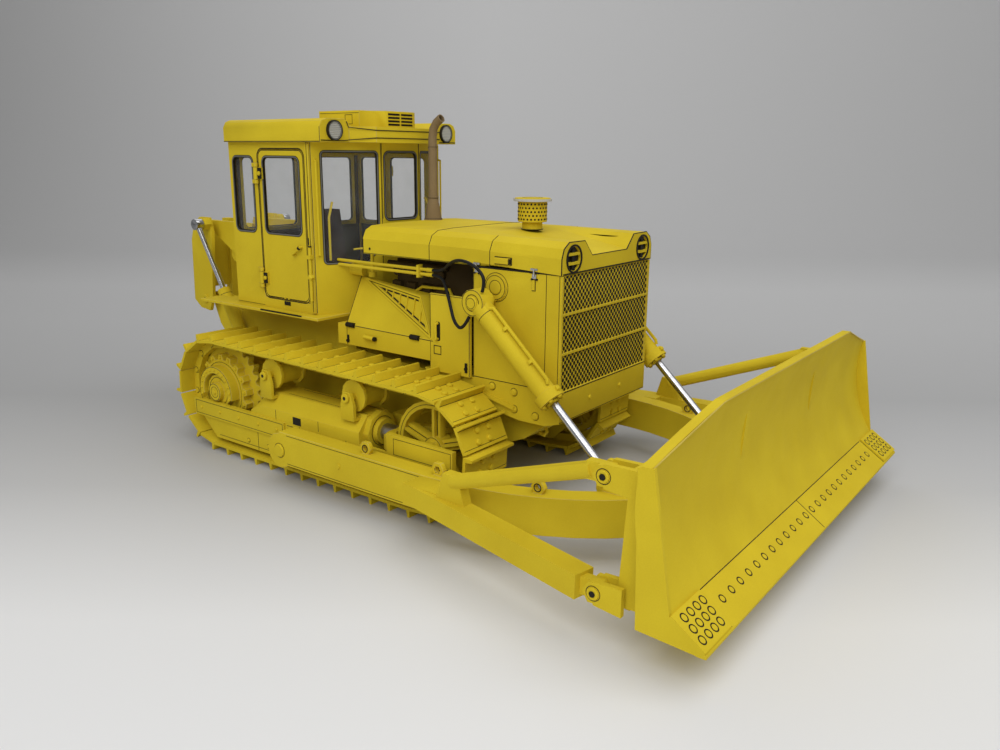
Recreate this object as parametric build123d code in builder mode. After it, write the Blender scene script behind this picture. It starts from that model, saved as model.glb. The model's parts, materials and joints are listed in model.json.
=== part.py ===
"""Card scale model, 1:25, of a crawler bulldozer with an angling blade and a rear ripper.

Millimetres of the model. +X points forward, +Y to the driver's left and +Z up. The ground is
z = 0 and the origin lies under the middle of the overall length. Lengths along the machine are
given from the sprocket's axle; side(), front() and plan() place them in the model's frame.
"""
from build123d import *
from math import asin, atan2, cos, degrees, hypot, pi, radians, sin, tan
import os

os.makedirs("parts", exist_ok=True)

# ---------------------------------------------------------------- driving dimensions
card = 1.0                   # wall of the model's panels
film = 0.3                   # window film
round_sides = 12             # sides of the rolled-card rollers, rings and bosses
small_sides = 6              # and of the smallest
bow_facets = 24              # of the blade frame's bow
pin_clearance = 0.06         # round a pin in its bore
overlap = 0.3                # how far a boss or rib reaches into what carries it

blade_tip_x = 205.9          # foremost edge of the blade
ripper_back_x = -51.6        # rearmost edge of the ripper carriage
origin_x = -(blade_tip_x + ripper_back_x) / 2

# crawler tracks
track_centre_y = 37.6
shoe_width = 20.0
shoe_pitch = 8.13
shoe_count = 38
teeth_per_pin = 2            # the sprocket's teeth take every second gap
pins_per_turn = 13.5
idler_pitch_radius = 16.6
link_half_height = 1.4
link_thickness = 2.4
link_gap = 3.4               # between a shoe's two links
plate_thickness = 0.95
grouser_height = 2.25
grouser_thickness = 0.9

# wheels in the tracks
sprocket_thickness = 2.6
tooth_height = 2.0
hub_disc_radius = 13.4
hub_scallops = 16
scallop_depth = 1.9
casing_outer_radius = 9.5
casing_inner_radius = 7.0
casing_thickness = 3.6
end_cap_radius = 3.4
final_drive_radius = 11.5
idler_width = 2.8            # half of it
idler_rim = 2.2
idler_hub_radius = 3.6
spoke_count = 5
spoke_width = 3.4
spoke_rib = 0.9
carrier_roller_radius = 4.2
carrier_flange_radius = 5.3
carrier_pin_radius = 1.3
carrier_roller_xs = (29.8, 70.0)
bottom_roller_radius = 4.4
bottom_roller_count = 6
bottom_roller_xs = (20.5, 84.0)    # first and last

# roller frame
guard_rear_x = -12.3
guard_front_x = 106.0
inner_guard_rear_x = 13.0
guard_top_z = 18.3
guard_step_z = 12.2
guard_bottom_z = 4.9
guard_thickness = 1.2
guard_outer_y = 46.0
recoil_rear_x = 21.0
recoil_hip_x = 27.5
recoil_front_x = 75.0
recoil_half_width = 8.4
recoil_side_z = 22.0
recoil_top_z = 26.8
recoil_nose = 2.2            # how far the octagonal front stands ahead
recoil_ring_radius = 4.3
ram_radius = 2.6
yoke_reach = 12.0            # how far the yoke's arms pass the idler's axle
yoke_half_width = 9.4
yoke_strap = 2.2
yoke_bar_height = 4.6

# hull, engine and hood
hull_half_width = 18.0
hull_bottom_z = 13.0
nose_half_width = 25.7
nose_front_x = 136.3
nose_rear_x = 104.8
nose_bottom_z = 41.0
nose_disc = (113.4, 69.5, 3.9)     # x, z, radius
nose_disc_height = 0.5
apron_bottom_z = 32.0
grille_top_z = 75.0
grille_frame = 0.5           # how far the frame round the grille's panels stands out
grille_panels = 3
hood_rear_x = 58.5
hood_loft_x = 105.0          # where the flat top starts to turn into the waved front
hood_side_z = 75.3
hood_top_z = 84.4
hood_front_drop = 5.1        # of the waved front's middle below the top
hood_shoulder_y = 21.5
hood_crown_y = 10.2
lamp_y = 20.1
lamp_z = 79.1
lamp_radius = 3.4
lamp_bar = 0.8
engine_half_width = 15.0
exhaust_x = 60.0
exhaust_y = 7.5
exhaust_foot_radius = 4.6
exhaust_radius = 2.9
exhaust_neck_z = 92.4
exhaust_bend_z = 113.5
exhaust_bend = 5.2           # radius of its bend
cleaner_x = 107.9
cleaner_foot_radius = 3.2
cleaner_radius = 4.6
cleaner_rim_radius = 6.0
cleaner_rim_z = 93.1
rail_bottom_z = 30.5

# cab
cab_rear_x = -1.9
cab_pillar_x = 41.6
cab_half_width = 31.4
cab_front_x = 51.7
cab_front_half = 9.4
floor_z = 53.5
roof_z = 110.4
roof_height = 7.4            # of the lamp boxes along its sides
roof_middle_height = 4.6
roof_overhang = 2.0          # past the walls
roof_box_width = 11.9        # of the lamp boxes
roof_front_x = 48.6
roof_rear_x = -1.4
visor_front_x = 56.0
visor_half_width = 15.6
visor_lip = 0.8
roof_lamp_radius = 2.9
cooler_xs = (25.0, 50.0)
cooler_ys = (-12.5, 11.6)
cooler_height = 6.0
platform_rear_x = -19.0
platform_half_width = 36.0
platform_notch_x = -13.5
platform_notch_y = 26.5
door_rear_x = 14.0
door_front_x = 38.0
door_bottom_z = 57.0
door_top_z = 108.2
door_corner = 2.6
door_gap = 0.35
window_frame = 2.75          # of wall left beside a door's window
window_sill_z = 80.0
window_head_z = 105.4
window_corner = 1.8
rear_window_half = 12.0
front_sill_z = 84.9
drip_rail = 0.8
pane_sill_z = 71.0
pane_head_z = 107.3
pane_cut = 4.2               # the corner cut off the slanted pane, beside the hood
hinge_radius = 0.9
hinge_height = 4.0
hinge_zs = (64.0, 100.0)

# boxes beside the hood
fender_gap = 0.3             # to the track
fender_foot_z = 44.0
fender_fold_z = 51.0
fender_front_x = 89.8
fender_peak = (48.3, 16.8, 66.0)
vent_corner = (80.7, 22.0, 63.0)
vent_frame = 1.5
vent_depth = 0.5
side_plate_top_z = 65.5

# blade and its frame
trunnion_x = 48.3
trunnion_z = 13.2
trunnion_radius = 2.6
frame_beam_y = 52.8
frame_beam_width = 6.4
frame_bottom_z = 8.6
frame_top_z = 19.6
frame_bend_x = 112.0
frame_front_x = 177.5
blade_half_width = 77.3
blade_bottom_z = 9.7
blade_edge_top_z = 16.2
blade_edge_x = 197.4
blade_waist = (191.0, 34.5)
blade_corner_z = 47.1
blade_top = (194.4, 55.1)
blade_crest_half = 48.5
blade_sheet = 2.4
blade_side_rear_x = 188.6
blade_rib_y = 26.0
end_bit_width = 13.8
end_bit_thickness = 0.6
lug_xs = (85.5, 114.2, 143.8)      # lifting lugs on the frame
lug_radius = 2.3
lug_hole_radius = 1.0
lug_thickness = 1.6
clevis_x = 178.5             # pins of the arms and struts at the blade
tongue_thickness = 2.4
clevis_radius = 2.8
clevis_pin_radius = 0.95
strut_radius = 2.1
clevises = ((blade_half_width - 4.3, 14.5), (blade_half_width - 6.8, 41.0))    # y, z of the pins

# lift cylinders
lift_y = 31.5
lift_trunnion_x = 111.1
lift_trunnion_z = 65.7
lift_pin_x = 157.0
lift_pin_z = 22.3
lift_pin_radius = 1.2
lift_barrel_radius = 3.1
lift_rod_radius = 1.25
lift_gland_at = 36.7         # from the trunnion, along the cylinder
lift_rod_back = 23.0         # the rod's inner end, from the trunnion
lift_stroke = 18.1           # the rod's travel into its barrel
barrel_end_gap = 0.7         # left beyond a rod that is all the way in
lift_eye_radius = 4.0
lift_eye_half = 2.6
lift_rod_eye_half = 1.5      # of the ripper's rods too
rod_eye_radius = 2.2
gland_lug = 1.0
seat_setback = 7.0           # of its back behind the door's rear edge
seat_depth = 19.0
seat_thickness = 5.0
seat_height = 12.5
seat_back_height = 32.5
seat_half_width = 7.5
bay_pipes = (72.0, 70.5)     # heights of the two pipes to each lift cylinder
bay_pipe_y = 24.0
bay_pipe_front_x = 87.1
bay_pipe_radius = 0.55
hose_radius = 0.5
hose_sides = 5

# ripper
link_foot_x = -21.5
link_foot_z = 18.0
carriage_pin_x = -43.7
carriage_low_z = 48.3
carriage_top_z = 78.0
ripper_link_y = 13.2
ripper_pin_radius = 1.1
carriage_plate_y = 17.0
carriage_plate = 1.4
bracket_foot_z = 12.0
bracket_plate = 1.8
link_plate = 1.8
link_side_gap = 0.3
ripper_cylinder_y = 21.6
ripper_base_x = -12.2
ripper_base_z = 33.0
ripper_eye_x = -38.8
ripper_eye_z = 79.0
ripper_barrel_radius = 2.5
ripper_rod_radius = 1.05
ripper_eye_half = 2.0
ripper_gland_at = 25.0
ripper_rod_back = 12.5       # the rod's inner end, from the base pin
ripper_stroke = 7.5
shank_tip_z = 9.0


# ---------------------------------------------------------------- placing planes
def side(y):
    """Plane seen from the right: local x runs forward from the sprocket's axle, local y up."""
    return Plane(origin=(origin_x, y, 0), x_dir=(1, 0, 0), z_dir=(0, -1, 0))


def front(x):
    """Plane across the machine at x: local x runs to the left, local y up, normal forward."""
    return Plane(origin=(origin_x + x, 0, 0), x_dir=(0, 1, 0), z_dir=(1, 0, 0))


def plan(z):
    """Level plane at height z: local x runs forward from the sprocket's axle, local y left."""
    return Plane(origin=(origin_x, 0, z), x_dir=(1, 0, 0), z_dir=(0, 0, 1))


def tube_plane(start, end):
    """Plane at start, square to the line from start to end, both (x, y, z)."""
    ax, ay, az = start
    bx, by, bz = end
    return Plane(origin=(origin_x + ax, ay, az), z_dir=(bx - ax, by - ay, bz - az))


def distance(start, end):
    """Straight distance between two points."""
    return sum((b - a) ** 2 for a, b in zip(start, end)) ** 0.5


def polar(radius, angle):
    """Point at a radius and an angle in degrees."""
    return radius * cos(radians(angle)), radius * sin(radians(angle))


def arc_points(radius, first, last, steps):
    """Points along an arc between two angles in degrees."""
    return [polar(radius, first + (last - first) * i / steps) for i in range(steps + 1)]


def toothed_ring(count, profile):
    """Outline of a wheel on which the profile, (share of a step, radius) pairs, repeats."""
    step = 360 / count
    return [polar(radius, (i + share) * step) for i in range(count) for share, radius in profile]


def soft_window(width, height, radius):
    """Outline of a rectangle with each corner rounded in three facets."""
    quarters = ((1, 1, 0), (-1, 1, 90), (-1, -1, 180), (1, -1, 270))
    return [(across * (width / 2 - radius) + x, up * (height / 2 - radius) + y)
            for across, up, start in quarters
            for x, y in arc_points(radius, start, start + 90, 3)]


def mirrored(points):
    """A symmetric closed outline from its half on the +x side, given from the bottom up."""
    return [*points, *[(-x, y) for x, y in reversed(points)]]


pieces = {}


def keep(name, piece):
    """Label a finished piece and write its STEP file."""
    piece.part.label = name
    export_step(piece.part, f"parts/{name}.step")
    pieces[name] = piece


def keep_pair(name, piece):
    """Write a left-hand piece and its mirrored right-hand twin."""
    keep(f"{name}_left", piece)
    with BuildPart() as twin:
        mirror(piece.part, about=Plane.XZ)
    keep(f"{name}_right", twin)


# ---------------------------------------------------------------- track
sprocket_pitch_radius = shoe_pitch * pins_per_turn / (2 * pi)
chain_height = link_half_height + plate_thickness + grouser_height
axle_z = chain_height + sprocket_pitch_radius
idler_z = chain_height + idler_pitch_radius
radius_difference = sprocket_pitch_radius - idler_pitch_radius
chain_length = shoe_pitch * shoe_count
chain_arcs = pi * (sprocket_pitch_radius + idler_pitch_radius)
idler_x = (chain_length - chain_arcs) / 2
lean = asin(radius_difference / idler_x)
idler_x -= lean * radius_difference
rear_wrap = sprocket_pitch_radius * (pi + 2 * lean)
front_wrap = idler_pitch_radius * (pi - 2 * lean)


def pin_place(s):
    """Pin centre (x, z) at chain length s, from below the sprocket round the rear and on."""
    s %= chain_length
    top = pi / 2 - 2 * lean
    start = (sprocket_pitch_radius * cos(top), axle_z + sprocket_pitch_radius * sin(top))
    end = (idler_x + idler_pitch_radius * cos(top), idler_z + idler_pitch_radius * sin(top))
    run = hypot(end[0] - start[0], end[1] - start[1])
    if s < rear_wrap:
        turn = -pi / 2 - s / sprocket_pitch_radius
        return sprocket_pitch_radius * cos(turn), axle_z + sprocket_pitch_radius * sin(turn)
    s -= rear_wrap
    if s < run:
        share = s / run
        return start[0] + share * (end[0] - start[0]), start[1] + share * (end[1] - start[1])
    s -= run
    if s < front_wrap:
        turn = top - s / idler_pitch_radius
        return (idler_x + idler_pitch_radius * cos(turn),
                idler_z + idler_pitch_radius * sin(turn))
    return idler_x - (s - front_wrap), chain_height


pins = [pin_place(i * shoe_pitch) for i in range(shoe_count)]
links = []                   # middle x, middle z and turn of each link
for i, (x0, z0) in enumerate(pins):
    x1, z1 = pins[(i + 1) % shoe_count]
    links.append(((x0 + x1) / 2, (z0 + z1) / 2, degrees(atan2(z1 - z0, x1 - x0))))

half = shoe_pitch / 2
plate_foot = link_half_height - 0.05
plate_face = link_half_height + plate_thickness
shoe_outline = [
    (-half, plate_foot), (half + 0.25, plate_foot), (half + 0.25, plate_face),
    (-half + 1.35, plate_face), (-half + grouser_thickness, plate_face + grouser_height),
    (-half + 0.1, plate_face + grouser_height), (-half, plate_face),
]
link_outline = [
    (-half - 0.8, 0), (-half + 0.2, link_half_height), (half - 0.2, link_half_height),
    (half + 0.8, 0), (half - 0.2, -link_half_height), (-half + 0.2, -link_half_height),
]
link_y = link_gap / 2 + link_thickness / 2

with BuildPart() as track:
    with BuildSketch(side(track_centre_y)):
        for x, z, turn in links:
            with Locations(Location((x, z, 0), (0, 0, turn))):
                Polygon(*shoe_outline, align=None)
    extrude(amount=shoe_width / 2, both=True)
    for y in (track_centre_y - link_y, track_centre_y + link_y):
        with BuildSketch(side(y)):
            for x, z, turn in links:
                with Locations(Location((x, z, 0), (0, 0, turn))):
                    Polygon(*link_outline, align=None)
        extrude(amount=link_thickness / 2, both=True)
keep_pair("track", track)

# ---------------------------------------------------------------- drive sprocket
tooth_count = int(pins_per_turn * teeth_per_pin)
tooth_step = 360 / tooth_count
root_radius = sprocket_pitch_radius - link_half_height - 0.25
tip_radius = root_radius + tooth_height
tooth_profile = ((-0.36, root_radius), (-0.13, tip_radius), (0.13, tip_radius),
                 (0.36, root_radius))
scallop_radius = hub_disc_radius - scallop_depth
scallop_profile = ((0.0, hub_disc_radius), (0.4, hub_disc_radius), (0.52, scallop_radius),
                   (0.88, scallop_radius))
hub_face_y = track_centre_y + 4.4
casing_face_y = hub_face_y + casing_thickness
casing_outline = [*arc_points(casing_outer_radius, -12, 192, 12),
                  *reversed(arc_points(casing_inner_radius, -12, 192, 12))]

with BuildPart() as sprocket:
    with BuildSketch(side(track_centre_y)):
        with Locations(Location((0, axle_z, 0), (0, 0, -90 + tooth_step / 2))):
            Polygon(*toothed_ring(tooth_count, tooth_profile), align=None)
    extrude(amount=sprocket_thickness / 2, both=True)
    with BuildSketch(side(hub_face_y)):
        with Locations((0, axle_z)):
            Polygon(*toothed_ring(hub_scallops, scallop_profile), align=None)
    extrude(amount=hub_face_y - track_centre_y)
    with BuildSketch(side(casing_face_y)):
        with Locations((0, axle_z)):
            Polygon(*casing_outline, align=None)
    extrude(amount=casing_thickness + overlap)
    for reach, radius in ((casing_thickness - 1.4, casing_inner_radius - 0.6),
                          (casing_thickness + 0.4, end_cap_radius)):
        with BuildSketch(side(hub_face_y + reach)):
            with Locations((0, axle_z)):
                RegularPolygon(radius, round_sides)
        extrude(amount=reach + overlap)
    with BuildSketch(side(track_centre_y)):
        with Locations((0, axle_z)):
            RegularPolygon(final_drive_radius, round_sides)
    extrude(amount=track_centre_y - hull_half_width)
keep_pair("drive_sprocket", sprocket)

# ---------------------------------------------------------------- idler
idler_radius = (idler_pitch_radius * cos(shoe_pitch / idler_pitch_radius / 2)
                - link_half_height - 0.15)
spoke_reach = idler_radius - idler_rim / 2
with BuildPart() as idler:
    with BuildSketch(side(track_centre_y)):
        with Locations((idler_x, idler_z)):
            RegularPolygon(idler_radius, 2 * round_sides)
            RegularPolygon(idler_radius - idler_rim, 2 * round_sides, mode=Mode.SUBTRACT)
            RegularPolygon(idler_hub_radius, round_sides)
    extrude(amount=idler_width, both=True)
    for width, depth in ((spoke_width, idler_width - 1.6), (spoke_rib, idler_width - 0.3)):
        with BuildSketch(side(track_centre_y)):
            with Locations((idler_x, idler_z)):
                with PolarLocations(spoke_reach / 2, spoke_count, start_angle=90):
                    Rectangle(spoke_reach, width)
        extrude(amount=depth, both=True)
    with BuildSketch(side(track_centre_y + yoke_half_width - yoke_strap - 0.2)):
        with Locations((idler_x, idler_z)):
            RegularPolygon(ram_radius, small_sides)
    extrude(amount=2 * (yoke_half_width - yoke_strap - 0.2))
keep_pair("idler", idler)

# ---------------------------------------------------------------- roller frame
link_floor = chain_height + link_half_height
roller_z = link_floor + bottom_roller_radius + 0.05
roller_step = (bottom_roller_xs[1] - bottom_roller_xs[0]) / (bottom_roller_count - 1)
inner_guard_y = 2 * track_centre_y - guard_outer_y + guard_thickness
link_side = link_y + link_thickness / 2
top_slope = tan(2 * lean)


def chain_underside(x):
    """Height of the upper run's inner face at x."""
    return axle_z + sprocket_pitch_radius - link_half_height - x * top_slope


guard_outline = [
    (guard_rear_x, guard_top_z), (guard_rear_x + 1, guard_step_z),
    (guard_rear_x + 4, guard_step_z), (guard_rear_x + 12, guard_bottom_z),
    (guard_front_x - 8, guard_bottom_z), (guard_front_x, guard_step_z),
    (guard_front_x, guard_top_z - 2), (guard_front_x - 12, guard_top_z),
]
inner_outline = [
    (inner_guard_rear_x, guard_top_z), (inner_guard_rear_x, guard_bottom_z),
    *guard_outline[4:],
]
strip_outline = [
    (guard_rear_x, guard_top_z), (guard_rear_x + 1, guard_step_z),
    (trunnion_x - 9, guard_step_z), (trunnion_x - 9, guard_top_z),
]
housing_foot_z = guard_top_z - 4
housing_section = mirrored([(recoil_half_width, housing_foot_z),
                            (recoil_half_width, recoil_side_z),
                            (recoil_half_width - 4, recoil_top_z)])
hip_section = mirrored([(recoil_half_width, housing_foot_z),
                        (recoil_half_width, recoil_side_z - 2.5),
                        (recoil_half_width - 2.4, recoil_side_z - 1.5)])
with BuildPart() as roller_frame:
    for y, outline, depth in ((guard_outer_y, guard_outline, guard_thickness),
                              (inner_guard_y, inner_outline, guard_thickness),
                              (guard_outer_y + 0.8, strip_outline, 1)):
        with BuildSketch(side(y)):
            Polygon(*outline, align=None)
        extrude(amount=depth)
    with BuildSketch(side(frame_beam_y + 1)):
        with Locations((trunnion_x, trunnion_z)):
            Circle(trunnion_radius)
    extrude(amount=frame_beam_y + 1 - guard_outer_y + overlap)
    for x, section in ((recoil_rear_x, hip_section), (recoil_hip_x, housing_section)):
        with BuildSketch(front(x)):
            with Locations((track_centre_y, 0)):
                Polygon(*section, align=None)
    loft(ruled=True)
    with BuildSketch(front(recoil_hip_x)):
        with Locations((track_centre_y, 0)):
            Polygon(*housing_section, align=None)
    extrude(amount=recoil_front_x - recoil_hip_x)
    with BuildSketch(front(recoil_front_x - overlap)):
        with Locations((track_centre_y, idler_z)):
            RegularPolygon(recoil_ring_radius + 2.2, 8)
    extrude(amount=recoil_nose + overlap)
    with BuildSketch(front(recoil_front_x)):
        with Locations((track_centre_y, idler_z)):
            RegularPolygon(recoil_ring_radius, round_sides)
    extrude(amount=recoil_nose + 1.6)
    with BuildSketch(side(guard_outer_y - guard_thickness + overlap)):
        with Locations(*[(bottom_roller_xs[0] + i * roller_step, roller_z)
                         for i in range(bottom_roller_count)]):
            RegularPolygon(bottom_roller_radius, small_sides)
    extrude(amount=guard_outer_y - inner_guard_y + 2 * (overlap - guard_thickness) + guard_thickness)
    for x in carrier_roller_xs:
        z = chain_underside(x) - carrier_roller_radius - 0.15
        for y, radius, depth in (
                (guard_outer_y + 0.5, carrier_pin_radius, guard_outer_y - track_centre_y),
                (track_centre_y + link_side + 1.3, carrier_flange_radius, 1.1),
                (track_centre_y + link_side + overlap, carrier_roller_radius,
                 2 * (link_side + overlap)),
                (track_centre_y - link_side - 0.2, carrier_flange_radius, 1.1)):
            with BuildSketch(side(y)):
                with Locations((x, z)):
                    RegularPolygon(radius, round_sides)
            extrude(amount=depth)
        with BuildSketch(side(guard_outer_y)):
            Polygon((x - 2.9, recoil_top_z - 1.6), (x + 2.9, recoil_top_z - 1.6),
                    (x + 2.9, z - 2.4), (x + 1.4, z + 1.9), (x - 1.4, z + 1.9),
                    (x - 2.9, z - 2.4), align=None)
        extrude(amount=1.2)
        with BuildSketch(plan(recoil_top_z - 1.6)):
            with Locations((x, guard_outer_y)):
                Rectangle(5.8, guard_outer_y - track_centre_y - 2, align=(Align.CENTER, Align.MAX))
        extrude(amount=1)
keep_pair("roller_frame", roller_frame)

# ---------------------------------------------------------------- idler ram and yoke
ram_rear_x = recoil_front_x + recoil_nose + 1.6
yoke_rear_x = idler_x - idler_radius - 2.4
yoke_front_x = idler_x + yoke_reach
arm_y = yoke_half_width
inner_y = yoke_half_width - yoke_strap
yoke_outline = [
    (yoke_front_x, arm_y), (yoke_rear_x + 5, arm_y), (yoke_rear_x + 1.4, arm_y - 1.6),
    (yoke_rear_x, arm_y - 5), (yoke_rear_x, -arm_y + 5), (yoke_rear_x + 1.4, -arm_y + 1.6),
    (yoke_rear_x + 5, -arm_y), (yoke_front_x, -arm_y), (yoke_front_x, -inner_y),
    (yoke_rear_x + 6.5, -inner_y), (yoke_rear_x + 2.2, -inner_y + 4),
    (yoke_rear_x + 2.2, inner_y - 4), (yoke_rear_x + 6.5, inner_y), (yoke_front_x, inner_y),
]
with BuildPart() as yoke:
    with BuildSketch(front(ram_rear_x)):
        with Locations((track_centre_y, idler_z)):
            RegularPolygon(ram_radius, round_sides)
    extrude(amount=yoke_rear_x - ram_rear_x + overlap)
    with BuildSketch(plan(idler_z - yoke_bar_height / 2)):
        with Locations((0, track_centre_y)):
            Polygon(*yoke_outline, align=None)
    extrude(amount=yoke_bar_height)
    with BuildSketch(side(track_centre_y + yoke_half_width + 1)):
        Polygon((yoke_rear_x + 5, idler_z - 2.4), (yoke_front_x + 2, idler_z - 2.4),
                (yoke_front_x + 2, idler_z + 3.6), (yoke_rear_x + 5, idler_z + 4.2), align=None)
    extrude(amount=1.8)
keep_pair("idler_yoke", yoke)

# ---------------------------------------------------------------- hull
nose_foot_z = nose_bottom_z
belly_outline = [
    (0, hull_bottom_z), (nose_rear_x - 8, hull_bottom_z), (nose_rear_x + 14, 22),
    (nose_front_x - 4, apron_bottom_z), (nose_front_x - 4, 36), (nose_rear_x, 36),
    (cab_pillar_x + 4, 40), (cab_pillar_x + 4, floor_z - card), (0, floor_z - card),
]
case_rear_x = platform_rear_x + card
case_outline = [
    (case_rear_x, hull_bottom_z + 3), (case_rear_x + 5, hull_bottom_z), (1, hull_bottom_z),
    (1, floor_z - card), (case_rear_x + 6, floor_z - card), (case_rear_x, floor_z - 6.5),
]
rail_outline = [
    (nose_rear_x - 20, nose_foot_z), (nose_front_x, nose_foot_z),
    (nose_front_x, apron_bottom_z), (nose_front_x - 5, rail_bottom_z),
    (nose_front_x - 14, rail_bottom_z), (nose_rear_x - 14, apron_bottom_z + 3.5),
]
with BuildPart() as hull:
    for outline, half_width in ((belly_outline, hull_half_width),
                                (case_outline, hull_half_width),
                                (rail_outline, nose_half_width)):
        with BuildSketch(side(0)):
            Polygon(*outline, align=None)
        extrude(amount=half_width, both=True)
    with BuildSketch(side(0)):
        with Locations((44, 21)):
            RegularPolygon(3.4, round_sides)
        with Locations((78, 21)):
            Rectangle(9, 7)
    extrude(amount=track_centre_y - recoil_half_width, both=True)
    with BuildSketch(side(0)):
        with Locations((ripper_base_x, ripper_base_z)):
            RegularPolygon(2.4, small_sides)
    extrude(amount=ripper_cylinder_y - ripper_barrel_radius - 0.2, both=True)
    with BuildSketch(side(0)):
        with Locations((ripper_base_x, ripper_base_z)):
            Circle(ripper_pin_radius)
    extrude(amount=ripper_cylinder_y + ripper_eye_half + 0.3, both=True)
keep("hull", hull)

# ---------------------------------------------------------------- engine
with BuildPart() as engine:
    with BuildSketch(plan(nose_bottom_z)):
        with Locations(((hood_rear_x + nose_front_x) / 2 - 6, 0)):
            Rectangle(nose_front_x - hood_rear_x - 22, 2 * engine_half_width)
    extrude(amount=hood_side_z - nose_bottom_z - 2)
keep("engine", engine)

# ---------------------------------------------------------------- hood
# halves of the hood's sections, (y, z) from its lower edge to the middle
flat_half = [(nose_half_width, hood_side_z), (nose_half_width, hood_top_z - 4.4),
             (nose_half_width - 1.4, hood_top_z - 1.6), (hood_shoulder_y, hood_top_z - 0.3),
             (hood_crown_y + 3.6, hood_top_z), (hood_crown_y, hood_top_z)]
waved_half = [(nose_half_width + 0.4, hood_side_z - 0.4),
              (nose_half_width + 0.4, hood_top_z - 5), (nose_half_width - 0.6, hood_top_z - 2.3),
              (hood_shoulder_y + 1, hood_top_z - 0.6), (hood_crown_y + 4.2, hood_top_z - 0.7),
              (hood_crown_y, hood_top_z - hood_front_drop)]


def lining(half):
    """The same half section one card thickness further in, and open below."""
    (foot_y, foot_z), *rest = half
    return [(foot_y - card, foot_z - 2), *[(y - card * y / foot_y, z - card) for y, z in rest]]


with BuildPart() as hood:
    with BuildSketch(front(hood_rear_x)):
        Polygon(*mirrored(flat_half), align=None)
    extrude(amount=hood_loft_x - hood_rear_x)
    for x, half_section in ((hood_loft_x, flat_half), (nose_front_x, waved_half)):
        with BuildSketch(front(x)):
            Polygon(*mirrored(half_section), align=None)
    loft(ruled=True)
    with BuildSketch(front(hood_rear_x - 1)):
        Polygon(*mirrored(lining(flat_half)), align=None)
    extrude(amount=hood_loft_x - hood_rear_x + 1, mode=Mode.SUBTRACT)
    with BuildSketch(front(hood_loft_x - overlap)):
        Polygon(*mirrored(lining(waved_half)), align=None)
    extrude(amount=nose_front_x - 1.6 - hood_loft_x + overlap, mode=Mode.SUBTRACT)
    with BuildSketch(front(nose_front_x - 0.8)):
        with Locations((lamp_y, lamp_z), (-lamp_y, lamp_z)):
            RegularPolygon(lamp_radius, round_sides)
    extrude(amount=2, mode=Mode.SUBTRACT)
    for hand in (1, -1):
        with BuildSketch(side(hand * (nose_half_width + 0.9))):
            with Locations((116, hood_side_z + 2.1)):
                Rectangle(5.7, 1.7)
        extrude(amount=hand * (0.9 + card / 2))
keep("hood", hood)

with BuildPart() as headlamps:
    for hand in (1, -1):
        with BuildSketch(front(nose_front_x - 0.8)):
            with Locations((hand * lamp_y, lamp_z + 1.3), (hand * lamp_y, lamp_z - 1.3)):
                Rectangle(1.6 * lamp_radius, lamp_bar)
            with Locations((hand * lamp_y, lamp_z)):
                Rectangle(lamp_bar, 1.8 * lamp_radius)
        extrude(amount=0.6)
keep("headlamps", headlamps)

# ---------------------------------------------------------------- nose panels and grille
disc_x, disc_z, disc_radius = nose_disc
with BuildPart() as nose_panel:
    with BuildSketch(side(nose_half_width)):
        Polygon((nose_rear_x, nose_bottom_z), (nose_front_x - card, nose_bottom_z),
                (nose_front_x - card, grille_top_z - 0.3), (nose_rear_x, grille_top_z - 0.3),
                align=None)
    extrude(amount=card)
    with BuildSketch(side(nose_half_width + nose_disc_height)):
        with Locations((disc_x, disc_z)):
            RegularPolygon(disc_radius, round_sides)
    extrude(amount=nose_disc_height + overlap)
    with BuildSketch(side(lift_y - lift_barrel_radius - 0.2)):
        with Locations((lift_trunnion_x, lift_trunnion_z)):
            RegularPolygon(lift_pin_radius + 1.2, small_sides)
    extrude(amount=lift_y - lift_barrel_radius - 0.2 - nose_half_width + overlap)
    with BuildSketch(side(lift_y + lift_eye_half + 0.3)):
        with Locations((lift_trunnion_x, lift_trunnion_z)):
            Circle(lift_pin_radius)
    extrude(amount=lift_eye_half + lift_barrel_radius + 0.6)
keep_pair("nose_panel", nose_panel)

panel_height = (grille_top_z - nose_bottom_z) / grille_panels
with BuildPart() as grille:
    with BuildSketch(front(nose_front_x - card)):
        Polygon(*mirrored([(nose_half_width, nose_bottom_z),
                           (nose_half_width, grille_top_z - 0.3)]), align=None)
    extrude(amount=card)
    with BuildSketch(front(nose_front_x - grille_frame)):
        for i in range(grille_panels):
            with Locations((0, nose_bottom_z + (i + 0.5) * panel_height)):
                Rectangle(2 * nose_half_width - 1.6, panel_height - 0.7)
    extrude(amount=grille_frame, mode=Mode.SUBTRACT)
keep("grille", grille)

# ---------------------------------------------------------------- exhaust and pre-cleaner
with BuildPart() as exhaust:
    for low_z, high_z, low_radius, high_radius in (
            (hood_top_z, exhaust_neck_z, exhaust_foot_radius, exhaust_radius),
            (exhaust_neck_z, exhaust_bend_z, exhaust_radius, exhaust_radius - 0.3)):
        for z, radius in ((low_z, low_radius), (high_z, high_radius)):
            with BuildSketch(plan(z)):
                with Locations((exhaust_x, exhaust_y)):
                    RegularPolygon(radius, round_sides)
        loft(ruled=True)
    bend_sections = []
    for turn in (0, 34, 62):
        reach, rise = polar(exhaust_bend, 180 - turn)
        middle = Vector(origin_x + exhaust_x + exhaust_bend + reach, exhaust_y,
                        exhaust_bend_z + rise)
        with BuildSketch(Plane(origin=middle, x_dir=(0, 1, 0),
                               z_dir=(sin(radians(turn)), 0, cos(radians(turn))))) as ring:
            RegularPolygon(exhaust_radius - 0.5, round_sides)
        bend_sections.append(ring.sketch)
    loft(sections=bend_sections, ruled=True)
keep("exhaust", exhaust)

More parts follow.
